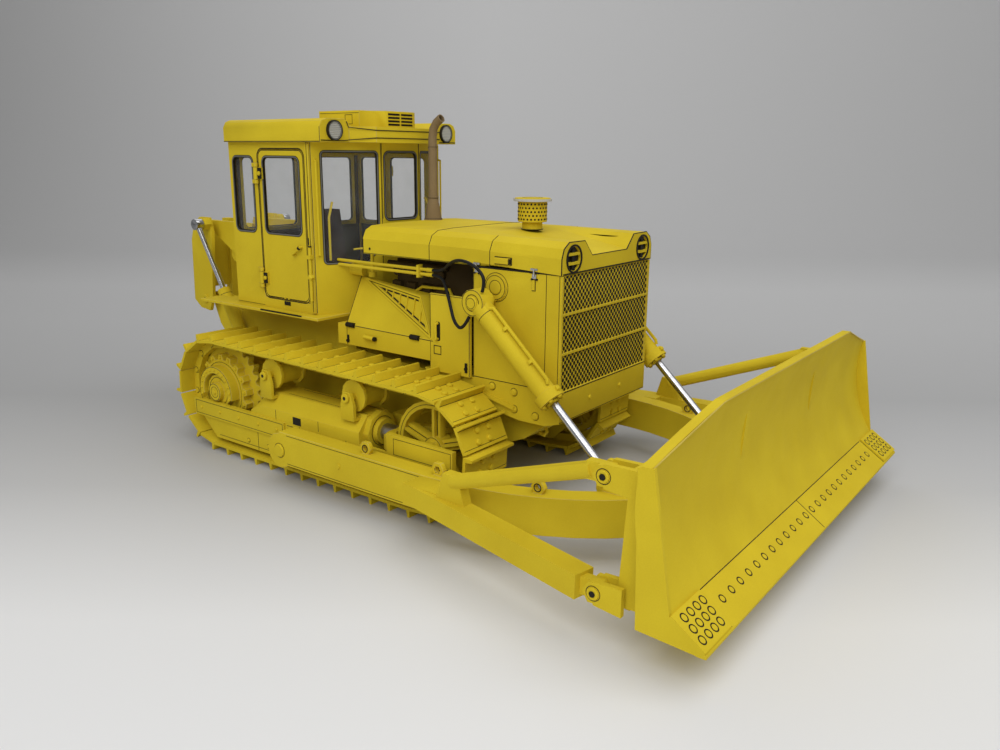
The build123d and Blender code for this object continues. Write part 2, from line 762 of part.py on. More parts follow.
cleaner_body_z = hood_top_z + 2.3
cleaner_steps = ((hood_top_z, cleaner_foot_radius, cleaner_body_z + overlap - hood_top_z),
                 (cleaner_body_z, cleaner_radius, cleaner_rim_z + overlap - cleaner_body_z),
                 (cleaner_rim_z, cleaner_rim_radius, 0.7))
with BuildPart() as pre_cleaner:
    for z, radius, height in cleaner_steps:
        with BuildSketch(plan(z)):
            with Locations((cleaner_x, 0)):
                RegularPolygon(radius, round_sides)
        extrude(amount=height)
keep("pre_cleaner", pre_cleaner)

# ---------------------------------------------------------------- cab walls
roof_half_width = cab_half_width + roof_overhang


def soft_top(rear, foot, ahead, head, radius):
    """Outline of a rectangle whose two upper corners are rounded."""
    return [(rear, foot), (ahead, foot),
            *[(ahead - radius + x, head - radius + y) for x, y in arc_points(radius, 0, 90, 3)],
            *[(rear + radius + x, head - radius + y) for x, y in arc_points(radius, 90, 180, 3)]]


with BuildPart() as cab_floor:
    with BuildSketch(plan(floor_z - card)):
        Polygon((platform_rear_x, platform_half_width), (cab_pillar_x + 5, platform_half_width),
                (cab_pillar_x + 5, -platform_half_width),
                (platform_rear_x, -platform_half_width), (platform_rear_x, -platform_notch_y),
                (platform_notch_x, -platform_notch_y), (platform_notch_x, platform_notch_y),
                (platform_rear_x, platform_notch_y), align=None)
    extrude(amount=card)
keep("cab_floor", cab_floor)

window_z = (window_sill_z + window_head_z) / 2
window_height = window_head_z - window_sill_z
quarter_x = (cab_rear_x + door_rear_x - 0.6) / 2
quarter_width = door_rear_x - cab_rear_x - 5.2
door_x = (door_rear_x + door_front_x) / 2
door_window_width = door_front_x - door_rear_x - 2 * window_frame
knuckle_zs = [z + up * (hinge_height / 2 + 0.8) for z in hinge_zs for up in (-1, 1)]
with BuildPart() as cab_side:
    with BuildSketch(side(cab_half_width)):
        Polygon((cab_rear_x, floor_z), (cab_pillar_x, floor_z), (cab_pillar_x, roof_z),
                (cab_rear_x, roof_z), align=None)
        Polygon(*soft_top(door_rear_x, door_bottom_z, door_front_x, door_top_z, door_corner),
                align=None, mode=Mode.SUBTRACT)
        with Locations((quarter_x, window_z)):
            Polygon(*soft_window(quarter_width, window_height, window_corner), align=None,
                    mode=Mode.SUBTRACT)
    extrude(amount=card)
    with BuildSketch(side(cab_half_width + drip_rail)):
        with Locations((cab_pillar_x - 1.2, (floor_z + roof_z) / 2)):
            Rectangle(1.6, roof_z - floor_z - 1)
    extrude(amount=drip_rail + overlap)
    for z in knuckle_zs:
        with BuildSketch(plan(z - 0.7)):
            with Locations((door_rear_x, cab_half_width + hinge_radius)):
                RegularPolygon(hinge_radius - 0.1, small_sides)
            with Locations((door_rear_x - 0.1, cab_half_width + hinge_radius - 0.1)):
                Rectangle(2.4, hinge_radius + 0.2, align=(Align.MAX, Align.MAX))
        extrude(amount=1.4)
keep_pair("cab_side", cab_side)

with BuildPart() as cab_rear:
    with BuildSketch(front(cab_rear_x)):
        Polygon(*mirrored([(cab_half_width - card, floor_z), (cab_half_width - card, roof_z)]),
                align=None)
        with Locations((-rear_window_half - 2.6, window_z), (rear_window_half + 2.6, window_z)):
            Polygon(*soft_window(2 * rear_window_half, window_height, window_corner), align=None,
                    mode=Mode.SUBTRACT)
    extrude(amount=card)
keep("cab_rear", cab_rear)

pane_run = hypot(cab_front_x - cab_pillar_x, cab_half_width - cab_front_half)
pane_near = pane_run / 2 - 3.4       # edges of the slanted pane, from its wall's middle
pane_far = 1.6 - pane_run / 2
pane_outline = [(pane_near, pane_sill_z), (pane_far + pane_cut, pane_sill_z),
                (pane_far, pane_sill_z + pane_cut), (pane_far, pane_head_z),
                (pane_near, pane_head_z)]


def front_wall(inset, thickness):
    """Plan outline of a bent sheet that stands an inset behind the cab's front faces."""
    pillar, fore, lean_in = cab_half_width - 1.1 * inset, cab_front_x - inset, 0.2
    return [(cab_pillar_x, pillar), (fore, cab_front_half - lean_in * inset),
            (fore, lean_in * inset - cab_front_half), (cab_pillar_x, -pillar),
            (cab_pillar_x, 1.1 * thickness - pillar),
            (fore - thickness, lean_in * (inset + thickness) - cab_front_half),
            (fore - thickness, cab_front_half - lean_in * (inset + thickness)),
            (cab_pillar_x, pillar - 1.1 * thickness)]


# the two pipes on each side come out of the slanted wall
wall_slope = (cab_front_x - cab_pillar_x) / (cab_half_width - cab_front_half)
bay_pipe_rear_x = cab_pillar_x + (cab_half_width - bay_pipe_y) * wall_slope - card / 2
with BuildPart() as cab_front:
    with BuildSketch(plan(floor_z)):
        Polygon(*front_wall(0, card), align=None)
    extrude(amount=roof_z - floor_z)
    with BuildSketch(front(cab_front_x - 3)):
        with Locations((0, (front_sill_z + pane_head_z) / 2)):
            Polygon(*soft_window(2 * cab_front_half - 3, pane_head_z - front_sill_z,
                                 window_corner), align=None)
    extrude(amount=6, mode=Mode.SUBTRACT)
    for hand in (1, -1):
        across = Vector(cab_pillar_x - cab_front_x, hand * (cab_half_width - cab_front_half), 0)
        pane = Plane(origin=(origin_x + (cab_pillar_x + cab_front_x) / 2,
                             hand * (cab_half_width + cab_front_half) / 2, 0),
                     x_dir=across, z_dir=across.cross(Vector(0, 0, 1)))
        with BuildSketch(pane):
            Polygon(*pane_outline, align=None)
        extrude(amount=5, both=True, mode=Mode.SUBTRACT)
        for z in bay_pipes:
            with BuildSketch(front(bay_pipe_rear_x)):
                with Locations((hand * bay_pipe_y, z)):
                    RegularPolygon(bay_pipe_radius, small_sides)
            extrude(amount=bay_pipe_front_x - bay_pipe_rear_x)
        with BuildSketch(front(bay_pipe_front_x - 6)):
            with Locations((hand * bay_pipe_y, sum(bay_pipes) / 2)):
                Rectangle(3 * bay_pipe_radius, 6 * bay_pipe_radius)
        extrude(amount=1.2)
keep("cab_front", cab_front)

# ---------------------------------------------------------------- roof
box_inner_y = roof_half_width - roof_box_width
roof_half = [(roof_half_width, roof_z), (roof_half_width, roof_z + roof_height - 2.6),
             (roof_half_width - 1.1, roof_z + roof_height - 0.7),
             (roof_half_width - 3, roof_z + roof_height),
             (box_inner_y + 1, roof_z + roof_height),
             (box_inner_y - 2, roof_z + roof_middle_height + 0.4),
             (box_inner_y - 3.5, roof_z + roof_middle_height)]
visor_outline = [(roof_front_x - 1, box_inner_y), (visor_front_x, visor_half_width),
                 (visor_front_x, -visor_half_width), (roof_front_x - 1, -box_inner_y)]
visor_hollow = [(roof_front_x - 1, box_inner_y - visor_lip),
                (visor_front_x - visor_lip, visor_half_width - visor_lip / 2),
                (visor_front_x - visor_lip, visor_lip / 2 - visor_half_width),
                (roof_front_x - 1, visor_lip - box_inner_y)]
with BuildPart() as cab_roof:
    with BuildSketch(front(roof_rear_x)):
        Polygon(*mirrored(roof_half), align=None)
    extrude(amount=roof_front_x - roof_rear_x)
    with BuildSketch(plan(roof_z)):
        Polygon(*visor_outline, align=None)
    extrude(amount=roof_middle_height)
    with BuildSketch(plan(roof_z + roof_middle_height - visor_lip / 2)):
        Polygon(*visor_outline, align=None)
        Polygon(*visor_hollow, align=None, mode=Mode.SUBTRACT)
    extrude(amount=visor_lip)
keep("cab_roof", cab_roof)

cooler_rear_x, cooler_front_x = cooler_xs
cooler_right_y, cooler_left_y = cooler_ys
with BuildPart() as air_conditioner:
    with BuildSketch(plan(roof_z + roof_middle_height)):
        Polygon((cooler_rear_x, cooler_right_y), (cooler_front_x - 5, cooler_right_y),
                (cooler_front_x - 4.5, cooler_right_y + 3.8),
                (cooler_front_x - 3, cooler_right_y + 5.9),
                (cooler_front_x - 0.8, cooler_right_y + 7.3),
                (cooler_front_x, cooler_right_y + 8.5), (cooler_front_x, cooler_left_y - 3.6),
                (cooler_front_x - 1, cooler_left_y - 1), (cooler_front_x - 3, cooler_left_y),
                (cooler_rear_x, cooler_left_y), align=None)
    extrude(amount=cooler_height)
keep("air_conditioner", air_conditioner)

with BuildPart() as roof_lamps:
    with BuildSketch(front(roof_front_x)):
        for hand in (1, -1):
            with Locations((hand * (roof_half_width + box_inner_y) / 2,
                            roof_z + roof_height / 2)):
                RegularPolygon(roof_lamp_radius, round_sides)
    extrude(amount=0.6)
keep("roof_lamps", roof_lamps)

# ---------------------------------------------------------------- doors and their hinges
with BuildPart() as door:
    with BuildSketch(side(cab_half_width)):
        Polygon(*soft_top(door_rear_x + door_gap, door_bottom_z + door_gap,
                          door_front_x - door_gap, door_top_z - door_gap,
                          door_corner - door_gap), align=None)
        with Locations((door_x, window_z)):
            Polygon(*soft_window(door_window_width, window_height, window_corner),
                    align=None, mode=Mode.SUBTRACT)
    extrude(amount=card)
    for z in hinge_zs:
        with BuildSketch(plan(z - hinge_height / 2)):
            with Locations((door_rear_x, cab_half_width + hinge_radius)):
                Circle(hinge_radius)
            with Locations((door_rear_x + door_gap, cab_half_width + hinge_radius)):
                Rectangle(2.4, hinge_radius + overlap, align=(Align.MIN, Align.MAX))
        extrude(amount=hinge_height)
keep_pair("door", door)

# ---------------------------------------------------------------- window film
film_height = window_height + 2 * window_frame - 2
with BuildPart() as door_glass:
    with BuildSketch(side(cab_half_width - card)):
        with Locations((door_x, window_z)):
            Rectangle(door_window_width + 2 * window_frame - 2, film_height)
    extrude(amount=film)
keep_pair("door_glass", door_glass)

with BuildPart() as quarter_glass:
    with BuildSketch(side(cab_half_width - card)):
        with Locations((quarter_x, window_z)):
            Rectangle(quarter_width + 1.6, film_height)
    extrude(amount=film)
keep_pair("quarter_glass", quarter_glass)

with BuildPart() as rear_glass:
    with BuildSketch(front(cab_rear_x + card)):
        with Locations((0, window_z)):
            Rectangle(4 * rear_window_half + 7, film_height)
    extrude(amount=film)
keep("rear_glass", rear_glass)

with BuildPart() as front_glass:
    with BuildSketch(plan(pane_sill_z - 1)):
        Polygon(*front_wall(card + 0.05, film), align=None)
    extrude(amount=pane_head_z - pane_sill_z + 2)
keep("front_glass", front_glass)

# ---------------------------------------------------------------- seat and dash
seat_rear_x = door_rear_x - seat_setback
dash_x = cab_front_x - card - 6.2
with BuildPart() as seat:
    with BuildSketch(side(0)):
        Polygon((seat_rear_x + 1, floor_z), (seat_rear_x + seat_depth - 2, floor_z),
                (seat_rear_x + seat_depth, floor_z + seat_height),
                (seat_rear_x + seat_thickness + 3, floor_z + seat_height),
                (seat_rear_x + seat_thickness, floor_z + seat_back_height),
                (seat_rear_x, floor_z + seat_back_height),
                (seat_rear_x + 2, floor_z + seat_height - 2), align=None)
    extrude(amount=seat_half_width, both=True)
keep("seat", seat)

with BuildPart() as dash:
    with BuildSketch(side(0)):
        Polygon((dash_x, floor_z), (dash_x + 5.5, floor_z), (dash_x + 5.5, front_sill_z - 5),
                (dash_x + 1, front_sill_z - 5), align=None)
    extrude(amount=cab_front_half - 1, both=True)
keep("dash", dash)

# ---------------------------------------------------------------- boxes beside the hood
fender_outer_y = track_centre_y - shoe_width / 2 - fender_gap
peak_x, peak_y, peak_z = fender_peak
corner_x, corner_y, corner_z = vent_corner
fold_rear = Vector(peak_x + 2.9, fender_outer_y, fender_fold_z)
fold_front = Vector(fender_front_x, fender_outer_y, fender_fold_z - 0.5)
ridge = Vector(peak_x, peak_y, peak_z)
vent_top = Vector(corner_x, corner_y, corner_z)


def facet(a, b, c):
    """Plane through three model points, facing outwards and up."""
    normal = (b - a).cross(c - a)
    return Plane(origin=a + Vector(origin_x, 0, 0), x_dir=b - a,
                 z_dir=normal * (1 if normal.Z > 0 else -1))


with BuildPart() as cover:
    with BuildSketch(side(fender_outer_y)):
        Polygon((fold_rear.X, fender_fold_z - 1), (fold_rear.X, fender_fold_z),
                (peak_x, peak_z), (fender_front_x, fold_front.Z),
                (fender_front_x, fender_fold_z - 1), align=None)
    extrude(amount=fender_outer_y - peak_y)
    split(bisect_by=facet(fold_rear, fold_front, ridge), keep=Keep.BOTTOM)

vent_face = facet(fold_front, vent_top, ridge)
vent_corners = [vent_face.to_local_coords(corner + Vector(origin_x, 0, 0))
                for corner in (fold_front, vent_top, ridge)]
with BuildPart() as vent:
    with BuildSketch(side(fender_outer_y)):
        Polygon((peak_x, peak_z - 8), (peak_x, peak_z), (corner_x, corner_z),
                (fender_front_x, fold_front.Z), (fender_front_x - 6, fold_front.Z), align=None)
    extrude(amount=fender_outer_y - peak_y)
    split(bisect_by=vent_face, keep=Keep.BOTTOM)
    with BuildSketch(vent_face):
        Polygon(*[(corner.X, corner.Y) for corner in vent_corners], align=None)
        offset(amount=-vent_frame)
    extrude(amount=-vent_depth, mode=Mode.SUBTRACT)

with BuildPart() as fender:
    add(cover.part)
    add(vent.part)
    with BuildSketch(side(fender_outer_y)):
        Polygon((cab_pillar_x + 5.2, fender_foot_z), (fender_front_x, fender_foot_z),
                (fender_front_x, fender_fold_z - 0.5), (cab_pillar_x + 5.2, fender_fold_z),
                align=None)
    extrude(amount=fender_outer_y - hull_half_width)
    with BuildSketch(side(fender_outer_y)):
        Polygon((fender_front_x - 1, nose_bottom_z), (nose_rear_x - 0.1, nose_bottom_z),
                (nose_rear_x - 0.1, side_plate_top_z), (fender_front_x - 1, side_plate_top_z),
                align=None)
    extrude(amount=card)
keep_pair("fender", fender)

# ---------------------------------------------------------------- blade
top_x, top_z = blade_top
waist_x, waist_z = blade_waist
nip = Vector(blade_tip_x - blade_edge_x, blade_bottom_z + 0.6 - blade_edge_top_z).normalized()
bit_lift = Vector(-nip.Y, nip.X) * end_bit_thickness
bit_run = nip * (distance((blade_edge_x, 0, blade_edge_top_z),
                          (blade_tip_x, 0, blade_bottom_z + 0.6)) - end_bit_thickness)
with BuildPart() as blade:
    with BuildSketch(side(0)):
        with BuildLine():
            ThreePointArc((blade_edge_x, blade_edge_top_z), blade_waist, blade_top)
            Line(blade_top, (top_x - blade_sheet, top_z))
            ThreePointArc((top_x - blade_sheet, top_z), (waist_x - blade_sheet, waist_z),
                          (blade_edge_x - blade_sheet, blade_edge_top_z))
            Polyline((blade_edge_x - blade_sheet, blade_edge_top_z),
                     (blade_edge_x - blade_sheet - 2, blade_edge_top_z - 4),
                     (blade_tip_x - 2, blade_bottom_z), (blade_tip_x, blade_bottom_z),
                     (blade_tip_x, blade_bottom_z + 0.6), (blade_edge_x, blade_edge_top_z))
        make_face()
    extrude(amount=blade_half_width, both=True)
    with BuildSketch(front(waist_x - 10)):
        for hand in (1, -1):
            Polygon((hand * blade_crest_half, top_z + 1), (hand * blade_crest_half, top_z),
                    (hand * blade_half_width, blade_corner_z),
                    (hand * (blade_half_width + 1), blade_corner_z),
                    (hand * (blade_half_width + 1), top_z + 1), align=None)
    extrude(amount=20, mode=Mode.SUBTRACT)
    with BuildSketch(side(0)):
        Polygon((waist_x - 8, blade_edge_top_z - 4), (blade_edge_x - 4, blade_edge_top_z - 4),
                (waist_x - 1.2, waist_z), (waist_x - 1.2, waist_z + 9.5),
                (waist_x - 6, waist_z + 9.5), align=None)
    extrude(amount=blade_half_width - 4, both=True)
    for hand in (1, -1):
        with BuildSketch(side(hand * (blade_half_width - card / 2))):
            Polygon((blade_side_rear_x, blade_corner_z - 0.5),
                    (blade_side_rear_x + 3.7, blade_corner_z), (blade_edge_x, blade_edge_top_z),
                    (blade_tip_x, blade_bottom_z + 0.6), (blade_tip_x, blade_bottom_z),
                    (blade_side_rear_x + 1.2, blade_bottom_z + 0.9), align=None)
        extrude(amount=card / 2, both=True)
        with BuildSketch(side(hand * blade_rib_y)):
            Polygon((waist_x - 8, blade_edge_top_z), (waist_x - 1, blade_edge_top_z),
                    (top_x - blade_sheet, top_z - 3), (top_x - blade_sheet - 2, top_z - 3),
                    (waist_x - 7.5, waist_z), align=None)
        extrude(amount=card, both=True)
        with BuildSketch(side(hand * (blade_half_width - end_bit_width / 2))):
            Polygon((blade_edge_x, blade_edge_top_z),
                    (blade_edge_x + bit_lift.X, blade_edge_top_z + bit_lift.Y),
                    (blade_edge_x + bit_lift.X + bit_run.X,
                     blade_edge_top_z + bit_lift.Y + bit_run.Y),
                    (blade_edge_x + bit_run.X, blade_edge_top_z + bit_run.Y), align=None)
        extrude(amount=end_bit_width / 2, both=True)
        for y, z in clevises:
            for ear in (-1, 1):
                with BuildSketch(side(hand * y + ear * (tongue_thickness / 2 + 0.8))):
                    with Locations((clevis_x, z)):
                        RegularPolygon(clevis_radius, small_sides)
                    Polygon((clevis_x, z - clevis_radius), (waist_x - 5.5, z - 3.6),
                            (waist_x - 5.5, z + 3), (clevis_x, z + clevis_radius), align=None)
                extrude(amount=0.7, both=True)
            with BuildSketch(side(hand * y)):
                with Locations((clevis_x, z)):
                    RegularPolygon(clevis_pin_radius, small_sides)
            extrude(amount=tongue_thickness / 2 + 2, both=True)
keep("blade", blade)

# ---------------------------------------------------------------- blade frame and arms
half_beam = frame_beam_width / 2
bow_reach = frame_front_x - frame_bend_x
outer_y = frame_beam_y + half_beam
inner_y = frame_beam_y - half_beam


def beam_y(x):
    """Distance of the frame's centre line from the middle at x, along the beam and its bow."""
    return frame_beam_y * (1 - (max(x - frame_bend_x, 0) / bow_reach) ** 2) ** 0.5


def bow(margin):
    """Half ellipse ahead of the frame's beams, a margin outside their centre line."""
    turns = [radians(180 * i / bow_facets - 90) for i in range(bow_facets + 1)]
    return [(frame_bend_x + (bow_reach + margin) * cos(turn),
             (frame_beam_y + margin) * sin(turn)) for turn in turns]


with BuildPart() as blade_frame:
    with BuildSketch(plan(frame_bottom_z)):
        Polygon((trunnion_x, -outer_y), *bow(half_beam), (trunnion_x, outer_y),
                (trunnion_x, inner_y), *reversed(bow(-half_beam)), (trunnion_x, -inner_y),
                align=None)
    extrude(amount=frame_top_z - frame_bottom_z)
    for hand in (1, -1):
        with BuildSketch(side(hand * frame_beam_y)):
            with Locations((trunnion_x, trunnion_z)):
                RegularPolygon((frame_top_z - frame_bottom_z) / 2 + 0.4, round_sides)
        extrude(amount=half_beam, both=True)
        with BuildSketch(side(hand * (frame_beam_y + 1.5))):
            with Locations((trunnion_x, trunnion_z)):
                RegularPolygon(trunnion_radius + pin_clearance, round_sides,
                               major_radius=False)
        extrude(amount=hand * frame_beam_width, mode=Mode.SUBTRACT)
        for x in lug_xs:
            with BuildSketch(side(hand * beam_y(x))):
                with Locations((x, frame_top_z + lug_radius * cos(pi / small_sides) - overlap)):
                    RegularPolygon(lug_radius, small_sides)
                    RegularPolygon(lug_hole_radius, small_sides, mode=Mode.SUBTRACT)
            extrude(amount=lug_thickness / 2, both=True)
        for ear in (-1, 1):
            with BuildSketch(side(hand * lift_y + ear * (lift_rod_eye_half + 1))):
                Polygon((lift_pin_x - 2.5, lift_pin_z + 2.5), (lift_pin_x + 2, lift_pin_z + 2.5),
                        (frame_front_x - 10, frame_top_z - 2),
                        (frame_front_x - 10, frame_bottom_z + 1.4), (lift_pin_x, 14),
                        (lift_pin_x - 2.5, lift_pin_z - 2.5), align=None)
            extrude(amount=0.6, both=True)
            with BuildSketch(side(hand * lift_y + ear * (lift_rod_eye_half + 2))):
                with Locations((lift_pin_x, lift_pin_z)):
                    RegularPolygon(lift_pin_radius, small_sides)
            extrude(amount=0.5, both=True)
    with BuildSketch(plan(frame_bottom_z + 1)):
        with Locations((frame_front_x + half_beam, 0)):
            Rectangle(4, 12)
    extrude(amount=frame_top_z - frame_bottom_z - 2)
keep("blade_frame", blade_frame)

arm_rear = (114.2, outer_y + 4.6, 16.4)
arm_front = (clevis_x - 4, *clevises[0])
strut_rear = (128.2, outer_y + 7, 24.2)
strut_front = (clevis_x - 4, *clevises[1])
with BuildPart() as blade_arm:
    with BuildSketch(tube_plane(arm_rear, arm_front)):
        Rectangle(6, 6)
    extrude(amount=distance(arm_rear, arm_front))
    with BuildSketch(side(arm_rear[1] + 3)):
        with Locations((arm_rear[0] + 4, arm_rear[2])):
            Rectangle(16, 6)
    extrude(amount=arm_rear[1] + 3 - outer_y)
    with BuildSketch(tube_plane(strut_rear, strut_front)):
        RegularPolygon(strut_radius, round_sides)
    extrude(amount=distance(strut_rear, strut_front))
    with BuildSketch(side(strut_rear[1])):
        Polygon((strut_rear[0] - 5, 18), (strut_rear[0] + 5, 18), (strut_rear[0] + 2.5, 26.5),
                (strut_rear[0] - 2.5, 26.5), align=None)
    extrude(amount=1.6, both=True)
    for y, z in clevises:
        with BuildSketch(side(y)):
            with Locations((clevis_x, z)):
                RegularPolygon(clevis_radius - 0.2, small_sides)
            with Locations((clevis_x - 2.6, z)):
                Rectangle(5.2, 4.4)
            with Locations((clevis_x, z)):
                RegularPolygon(clevis_pin_radius + pin_clearance, small_sides,
                               mode=Mode.SUBTRACT)
        extrude(amount=tongue_thickness / 2, both=True)
keep_pair("blade_arm", blade_arm)

# ---------------------------------------------------------------- lift cylinders
lift_top = (lift_trunnion_x, lift_y, lift_trunnion_z)
lift_foot = (lift_pin_x, lift_y, lift_pin_z)
lift_length = distance(lift_top, lift_foot)
lift_line = tube_plane(lift_top, lift_foot)
with BuildPart() as lift_barrel:
    with BuildSketch(lift_line):
        Circle(lift_barrel_radius)
    extrude(amount=lift_gland_at)
    with BuildSketch(lift_line.offset(lift_gland_at - 3)):
        RegularPolygon(lift_barrel_radius + gland_lug, round_sides)
    extrude(amount=3)
    with BuildSketch(side(lift_y)):
        with Locations((lift_trunnion_x, lift_trunnion_z)):
            RegularPolygon(lift_eye_radius, round_sides)
    extrude(amount=lift_eye_half, both=True)
    with BuildSketch(lift_line.offset(lift_rod_back - lift_stroke - barrel_end_gap)):
        RegularPolygon(lift_rod_radius + pin_clearance, small_sides, major_radius=False)
    extrude(amount=lift_gland_at, mode=Mode.SUBTRACT)
    with BuildSketch(side(lift_y)):
        with Locations((lift_trunnion_x, lift_trunnion_z)):
            RegularPolygon(lift_pin_radius + pin_clearance, small_sides, major_radius=False)
    extrude(amount=lift_eye_half + 1, both=True, mode=Mode.SUBTRACT)
keep_pair("lift_barrel", lift_barrel)

with BuildPart() as lift_rod:
    with BuildSketch(lift_line.offset(lift_rod_back)):
        Circle(lift_rod_radius)
    extrude(amount=lift_length - lift_rod_back - 1.6)
    with BuildSketch(side(lift_y)):
        with Locations((lift_pin_x, lift_pin_z)):
            RegularPolygon(rod_eye_radius, round_sides)
    extrude(amount=lift_rod_eye_half, both=True)
keep_pair("lift_rod", lift_rod)

# ---------------------------------------------------------------- hoses to the lift cylinders
# route of each left-hand hose, from its pipe's end to its port over or under the barrel's eye
upper_route = [(bay_pipe_front_x, bay_pipe_y, bay_pipes[0]),
               (91.4, bay_pipe_y, bay_pipes[0]), (96.2, 26.8, 75.0), (101.8, 29.6, 77.0),
               (107.8, 31.6, 76.9), (112.6, 32.6, 75.2), (115.0, 33.0, 72.2),
               (113.9, 33.0, 69.1)]
lower_route = [(bay_pipe_front_x, bay_pipe_y, bay_pipes[1]),
               (90.8, bay_pipe_y, bay_pipes[1]), (95.4, 27.2, 67.8), (99.4, 30.0, 63.2),
               (102.9, 32.4, 58.7), (106.9, 33.4, 56.9), (109.4, 33.4, 61.3)]


def bend_radii(route):
    """For each corner, the widest arc its two runs allow, with 0.45 of the shorter one."""
    radii = []
    for before, corner, after in zip(route, route[1:], route[2:]):
        back, ahead = Vector(*corner) - Vector(*before), Vector(*after) - Vector(*corner)
        half_turn = radians(back.get_angle(ahead)) / 2
        radii.append(0.45 * min(back.length, ahead.length) / tan(half_turn))
    return radii


for name, route in (("hose_upper", upper_route), ("hose_lower", lower_route)):
    radii = bend_radii(route)
    print(name, "radii", [round(radius, 1) for radius in radii])
    points = [Vector(origin_x + x, y, z) for x, y, z in route]
    with BuildPart() as hose:
        with BuildLine() as hose_path:
            FilletPolyline(*points, radius=radii)
        with BuildSketch(Plane(origin=points[0], z_dir=points[1] - points[0])):
            RegularPolygon(hose_radius, hose_sides)
        sweep(path=hose_path.line)
    length = sum(edge.length for edge in hose_path.edges())
    print(name, "length", round(length, 2), "mean section", round(hose.part.volume / length, 3))
    keep_pair(name, hose)

# ---------------------------------------------------------------- ripper
link_rise = carriage_low_z - link_foot_z
upper_foot_z = carriage_top_z - link_rise
link_end = 2.7               # radius of a link's rounded ends

plate_x = platform_rear_x            # of the bracket's front edge
with BuildPart() as ripper_bracket:
    for hand in (1, -1):
        with BuildSketch(side(hand * ripper_link_y)):
            Polygon((plate_x + card, bracket_foot_z), (plate_x + card, floor_z - card),
                    (plate_x - 0.2, floor_z - card), (plate_x - 0.2, upper_foot_z + 4.2),
                    (link_foot_x - link_end, upper_foot_z + 3),
                    (link_foot_x - link_end, link_foot_z - 4), align=None)
        extrude(amount=bracket_plate / 2, both=True)
        with BuildSketch(side(hand * (ripper_link_y - bracket_plate / 2 + overlap))):
            with Locations((link_foot_x, link_foot_z), (link_foot_x, upper_foot_z)):
                Circle(ripper_pin_radius)
        extrude(amount=hand * (link_side_gap + link_plate + 0.5))
        with BuildSketch(side(hand * (ripper_link_y + bracket_plate / 2 + 1.2))):
            with Locations((link_foot_x, link_foot_z), (link_foot_x, upper_foot_z)):
                RegularPolygon(ripper_pin_radius + 0.5, small_sides)
        extrude(amount=hand * (1.2 + overlap))
    with BuildSketch(plan(bracket_foot_z)):
        with Locations((plate_x + card / 2, 0)):
            Rectangle(card, 2 * hull_half_width)
    extrude(amount=34)
keep("ripper_bracket", ripper_bracket)

# outline of each link as seen from the right, from its foot pin, and the pins at its two ends
head_x = carriage_pin_x - link_foot_x
lower_link = [(head_x - 1.5, link_rise + 2.1), (head_x + 1.3, link_rise + 2.6),
              (head_x + 12.7, link_rise + 1.3), (2.0, 1.0), (1.0, -1.9), (-2.1, -1.6),
              (head_x + 1.5, link_rise - 10.8), (head_x - 2.3, link_rise - 1.7)]
upper_link = [(head_x - 1.7, link_rise + 2.0), (4.5, link_rise + 2.0), (2.0, 4.8), (2.0, 0.7),
              (1.0, -1.9), (-2.1, -1.7), (-4.5, link_rise - 12.5),
              (head_x + 2.5, link_rise - 3.4), (head_x - 2.1, link_rise - 1.8)]
link_plate_y = ripper_link_y - bracket_plate / 2 - link_side_gap - link_plate / 2
for name, outline, foot_z in (("ripper_lower_link", lower_link, link_foot_z),
                              ("ripper_upper_link", upper_link, upper_foot_z)):
    with BuildPart() as ripper_link:
        for hand in (1, -1):
            with BuildSketch(side(hand * link_plate_y)):
                with Locations((link_foot_x, foot_z)):
                    Polygon(*outline, align=None)
                with Locations((link_foot_x, foot_z), (carriage_pin_x, foot_z + link_rise)):
                    RegularPolygon(ripper_pin_radius + pin_clearance, small_sides,
                                   major_radius=False, mode=Mode.SUBTRACT)
            extrude(amount=link_plate / 2, both=True)
        with BuildSketch(side(0)):
            with Locations(((link_foot_x + carriage_pin_x) / 2 + 3, foot_z + link_rise / 2 + 4)):
                RegularPolygon(3, round_sides)
        extrude(amount=link_plate_y, both=True)
    keep(name, ripper_link)

